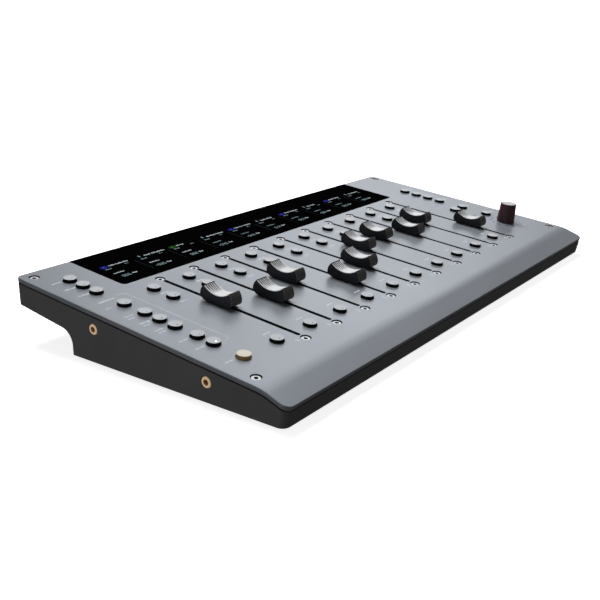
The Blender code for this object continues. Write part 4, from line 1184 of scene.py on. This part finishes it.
def make_connectors():
    """The block in the rear wall, with a power inlet and a data socket, both with metal shells."""
    face = BLOCK_HIGH.y
    floor = face - SOCKET_REACH
    size = (BLOCK_HIGH.x - BLOCK_LOW.x, BLOCK_HIGH.z - BLOCK_LOW.z)
    bm = bmesh.new()
    edge = [(0.0, BLOCK_LOW.y)] + rounding(CONNECTOR_EDGE, 3, face)
    loft(bm, [rear_rectangle(size, BLOCK_CORNER, y, 0.0, inset, 4) for inset, y in edge])
    block = new_object("rear_connector_body", bm, [MOULDED])
    sockets = bmesh.new()
    for loop_at in (inlet_loop, data_loop):
        loft(sockets, [loop_at(floor), loop_at(face + OVERRUN)])
    combine(block, new_cutter(sockets), "DIFFERENCE")
    apply_modifiers(block)
    finish(block, "case", "connectors", "rear_connector_block")

    bm = bmesh.new()
    floor += 0.1 * MM
    for loop_at in (inlet_loop, data_loop):
        loft(bm, [loop_at(floor, SHELL_GAP), loop_at(face + SHELL_LIP, SHELL_GAP),
                  loop_at(face + SHELL_LIP, SHELL_WALL), loop_at(floor + SHELL_WALL, SHELL_WALL)])
    edge = [(0.0, floor)] + rounding(CONNECTOR_EDGE, 3, face - INLET_PIN_BACK)
    loft(bm, [rear_loop(circle(INLET_PIN_RADIUS - inset, 0.0, 24), y, INLET_X) for inset, y in edge])
    loft(bm, [rear_rectangle(TONGUE_SIZE, TONGUE_CORNER, y, DATA_X) for y in (floor, face - TONGUE_BACK)],
         [1])
    metal = new_object("rear_connector_contacts", bm, [ZINC, MOULDED])
    hand_in(metal, "case", "connectors", "rear_connector_block")


# ---- nodes whose CAD shape stays ----
def finish_inner_nodes():
    finishes = {"fader_bank": ZINC, "knob_encoder": ZINC, "main_circuit_board": SOLDER_MASK,
                "display_module": MODULE_BLACK}
    for node, material in finishes.items():
        for slot in NODES[node].material_slots:
            slot.material = material


# ---- studio ----
CAMERA_PLACE = (-0.53142, -0.3505, 0.21093)
CAMERA_AZIMUTH = math.radians(-53.582)
CAMERA_ELEVATION = math.radians(19.13)
CAMERA_ROLL = math.radians(0.424)
CAMERA_LENS = 51.82                 # mm, on a 36 mm wide sensor


def make_camera():
    azimuth, elevation = CAMERA_AZIMUTH, CAMERA_ELEVATION
    back = Vector((math.sin(azimuth) * math.cos(elevation), -math.cos(azimuth) * math.cos(elevation),
                   math.sin(elevation)))
    right = Vector((math.cos(azimuth), math.sin(azimuth), 0.0))
    turned = Matrix((right, back.cross(right), back)).transposed() @ Matrix.Rotation(CAMERA_ROLL, 3, "Z")
    data = bpy.data.cameras.new("camera")
    data.lens = CAMERA_LENS
    data.sensor_width = 36.0
    data.clip_start = 0.01
    camera = bpy.data.objects.new("camera", data)
    camera.matrix_world = Matrix.Translation(CAMERA_PLACE) @ turned.to_4x4()
    bpy.context.scene.collection.objects.link(camera)
    bpy.context.scene.camera = camera


def add_softbox(name, place, target, size, power, diffused=True, mirrored=True):
    data = bpy.data.lights.new(name, "AREA")
    data.shape = "RECTANGLE"
    data.size, data.size_y = size
    data.energy = power
    light = bpy.data.objects.new(name, data)
    light.location = place
    direction = Vector(target) - Vector(place)
    light.rotation_euler = direction.to_track_quat("-Z", "Y").to_euler()
    light.visible_camera = False
    light.visible_diffuse = diffused
    light.visible_glossy = mirrored
    bpy.context.scene.collection.objects.link(light)


FLOOR_GLOW = (0.84, 0.97)           # near the console, and from FLOOR_GLOW_REACH on
FLOOR_GLOW_REACH = (0.2, 0.65)


def make_floor_paper():
    """White paper lit from below, more so away from the console."""
    paper = glowing(surface("studio_floor_paper", (0.55, 0.55, 0.55), 0.9, grain=300, relief=0.01,
                            spread=0.01, specular=0.0), (1.0, 1.0, 1.0), 1.0)
    tree = paper.node_tree
    place = add_node(tree, "ShaderNodeTexCoord")
    distance = add_node(tree, "ShaderNodeVectorMath", operation="LENGTH")
    glow = add_node(tree, "ShaderNodeMapRange",
                    {"From Min": FLOOR_GLOW_REACH[0], "From Max": FLOOR_GLOW_REACH[1],
                     "To Min": FLOOR_GLOW[0], "To Max": FLOOR_GLOW[1]}, interpolation_type="SMOOTHSTEP")
    tree.links.new(place.outputs["Object"], distance.inputs[0])
    tree.links.new(distance.outputs["Value"], glow.inputs["Value"])
    tree.links.new(glow.outputs["Result"], tree.nodes["Principled BSDF"].inputs["Emission Strength"])
    return paper


# the floor's rings: radius and height
FLOOR_RINGS = [(0.2, 0.0), (1.5, 0.0), (4.0, 0.0), (5.0, 0.12), (5.8, 0.5), (6.2, 1.1), (6.3, 2.5)]
FLOOR_SIDES = 96
FLOOR_DROP = 0.5 * MM               # below the feet, so that the two never touch


def make_floor():
    """A pale sweep: a wide disc at the table's height that curves up far behind."""
    bm = bmesh.new()
    rows = [[bm.verts.new(p) for p in circle(radius, height, FLOOR_SIDES)]
            for radius, height in FLOOR_RINGS]
    bm.faces.new(rows[0])
    for inner, outer in zip(rows, rows[1:]):
        for i in range(FLOOR_SIDES):
            j = (i + 1) % FLOOR_SIDES
            bm.faces.new((inner[i], outer[i], outer[j], inner[j]))
    floor = new_object("studio_floor", bm, [make_floor_paper()])
    floor.visible_diffuse = False
    floor.visible_glossy = False
    floor.location.z = -FLOOR_DROP


WORLD_LIGHT = (0.04, 0.125)         # from below the horizon, and from above


def make_world():
    """An even soft light from above, fading out below the horizon."""
    world = bpy.data.worlds.new("studio")
    world.use_nodes = True
    tree = world.node_tree
    place = add_node(tree, "ShaderNodeTexCoord")
    split = add_node(tree, "ShaderNodeSeparateXYZ")
    fade = add_node(tree, "ShaderNodeMapRange", {"From Min": -0.35, "From Max": 0.25,
                                                 "To Min": WORLD_LIGHT[0], "To Max": WORLD_LIGHT[1]})
    background = tree.nodes["Background"]
    background.inputs["Color"].default_value = (1.0, 1.0, 1.0, 1.0)
    tree.links.new(place.outputs["Generated"], split.inputs["Vector"])
    tree.links.new(split.outputs["Z"], fade.inputs["Value"])
    tree.links.new(fade.outputs["Result"], background.inputs["Strength"])
    bpy.context.scene.world = world


# small soft panels behind the console, which it mirrors: azimuth and elevation in degrees, side in
# metres and power in watts
SHEEN_PANELS = [(18, 26, 0.45, 1.12), (32, 22, 0.45, 0.68), (32, 34, 0.45, 0.79), (48, 26, 0.45, 0.80),
                (30, 60, 0.8, 3.06)]


def around(azimuth, elevation, distance):
    """A place round the console, by its azimuth from +X, elevation and distance."""
    azimuth, elevation = math.radians(azimuth), math.radians(elevation)
    return (distance * math.cos(elevation) * math.cos(azimuth),
            distance * math.cos(elevation) * math.sin(azimuth), distance * math.sin(elevation))


def make_studio():
    bpy.context.scene.view_settings.view_transform = "Standard"
    make_world()
    middle = (0.0, 0.0, 0.02)
    add_softbox("key_softbox", around(65, 62, 1.5), middle, (0.8, 0.8), 46.0, mirrored=False)
    for number, (azimuth, elevation, size, power) in enumerate(SHEEN_PANELS):
        add_softbox(f"sheen_{number + 1}", around(azimuth, elevation, 1.9), middle, (size, size), power,
                    diffused=False)
    add_softbox("left_fill", (-1.3, 0.2, 0.14), middle, (1.0, 0.26), 3.6)
    add_softbox("front_fill", (0.5, -1.4, 0.25), middle, (1.0, 0.4), 3.0, mirrored=False)
    make_floor()


make_camera()
make_studio()
make_top_panel()
make_legends()
make_screws()
make_chassis()
make_feet()
make_inserts()
make_glass()
make_readouts()
make_fader_caps()
make_keys()
make_knob()
make_connectors()
finish_inner_nodes()
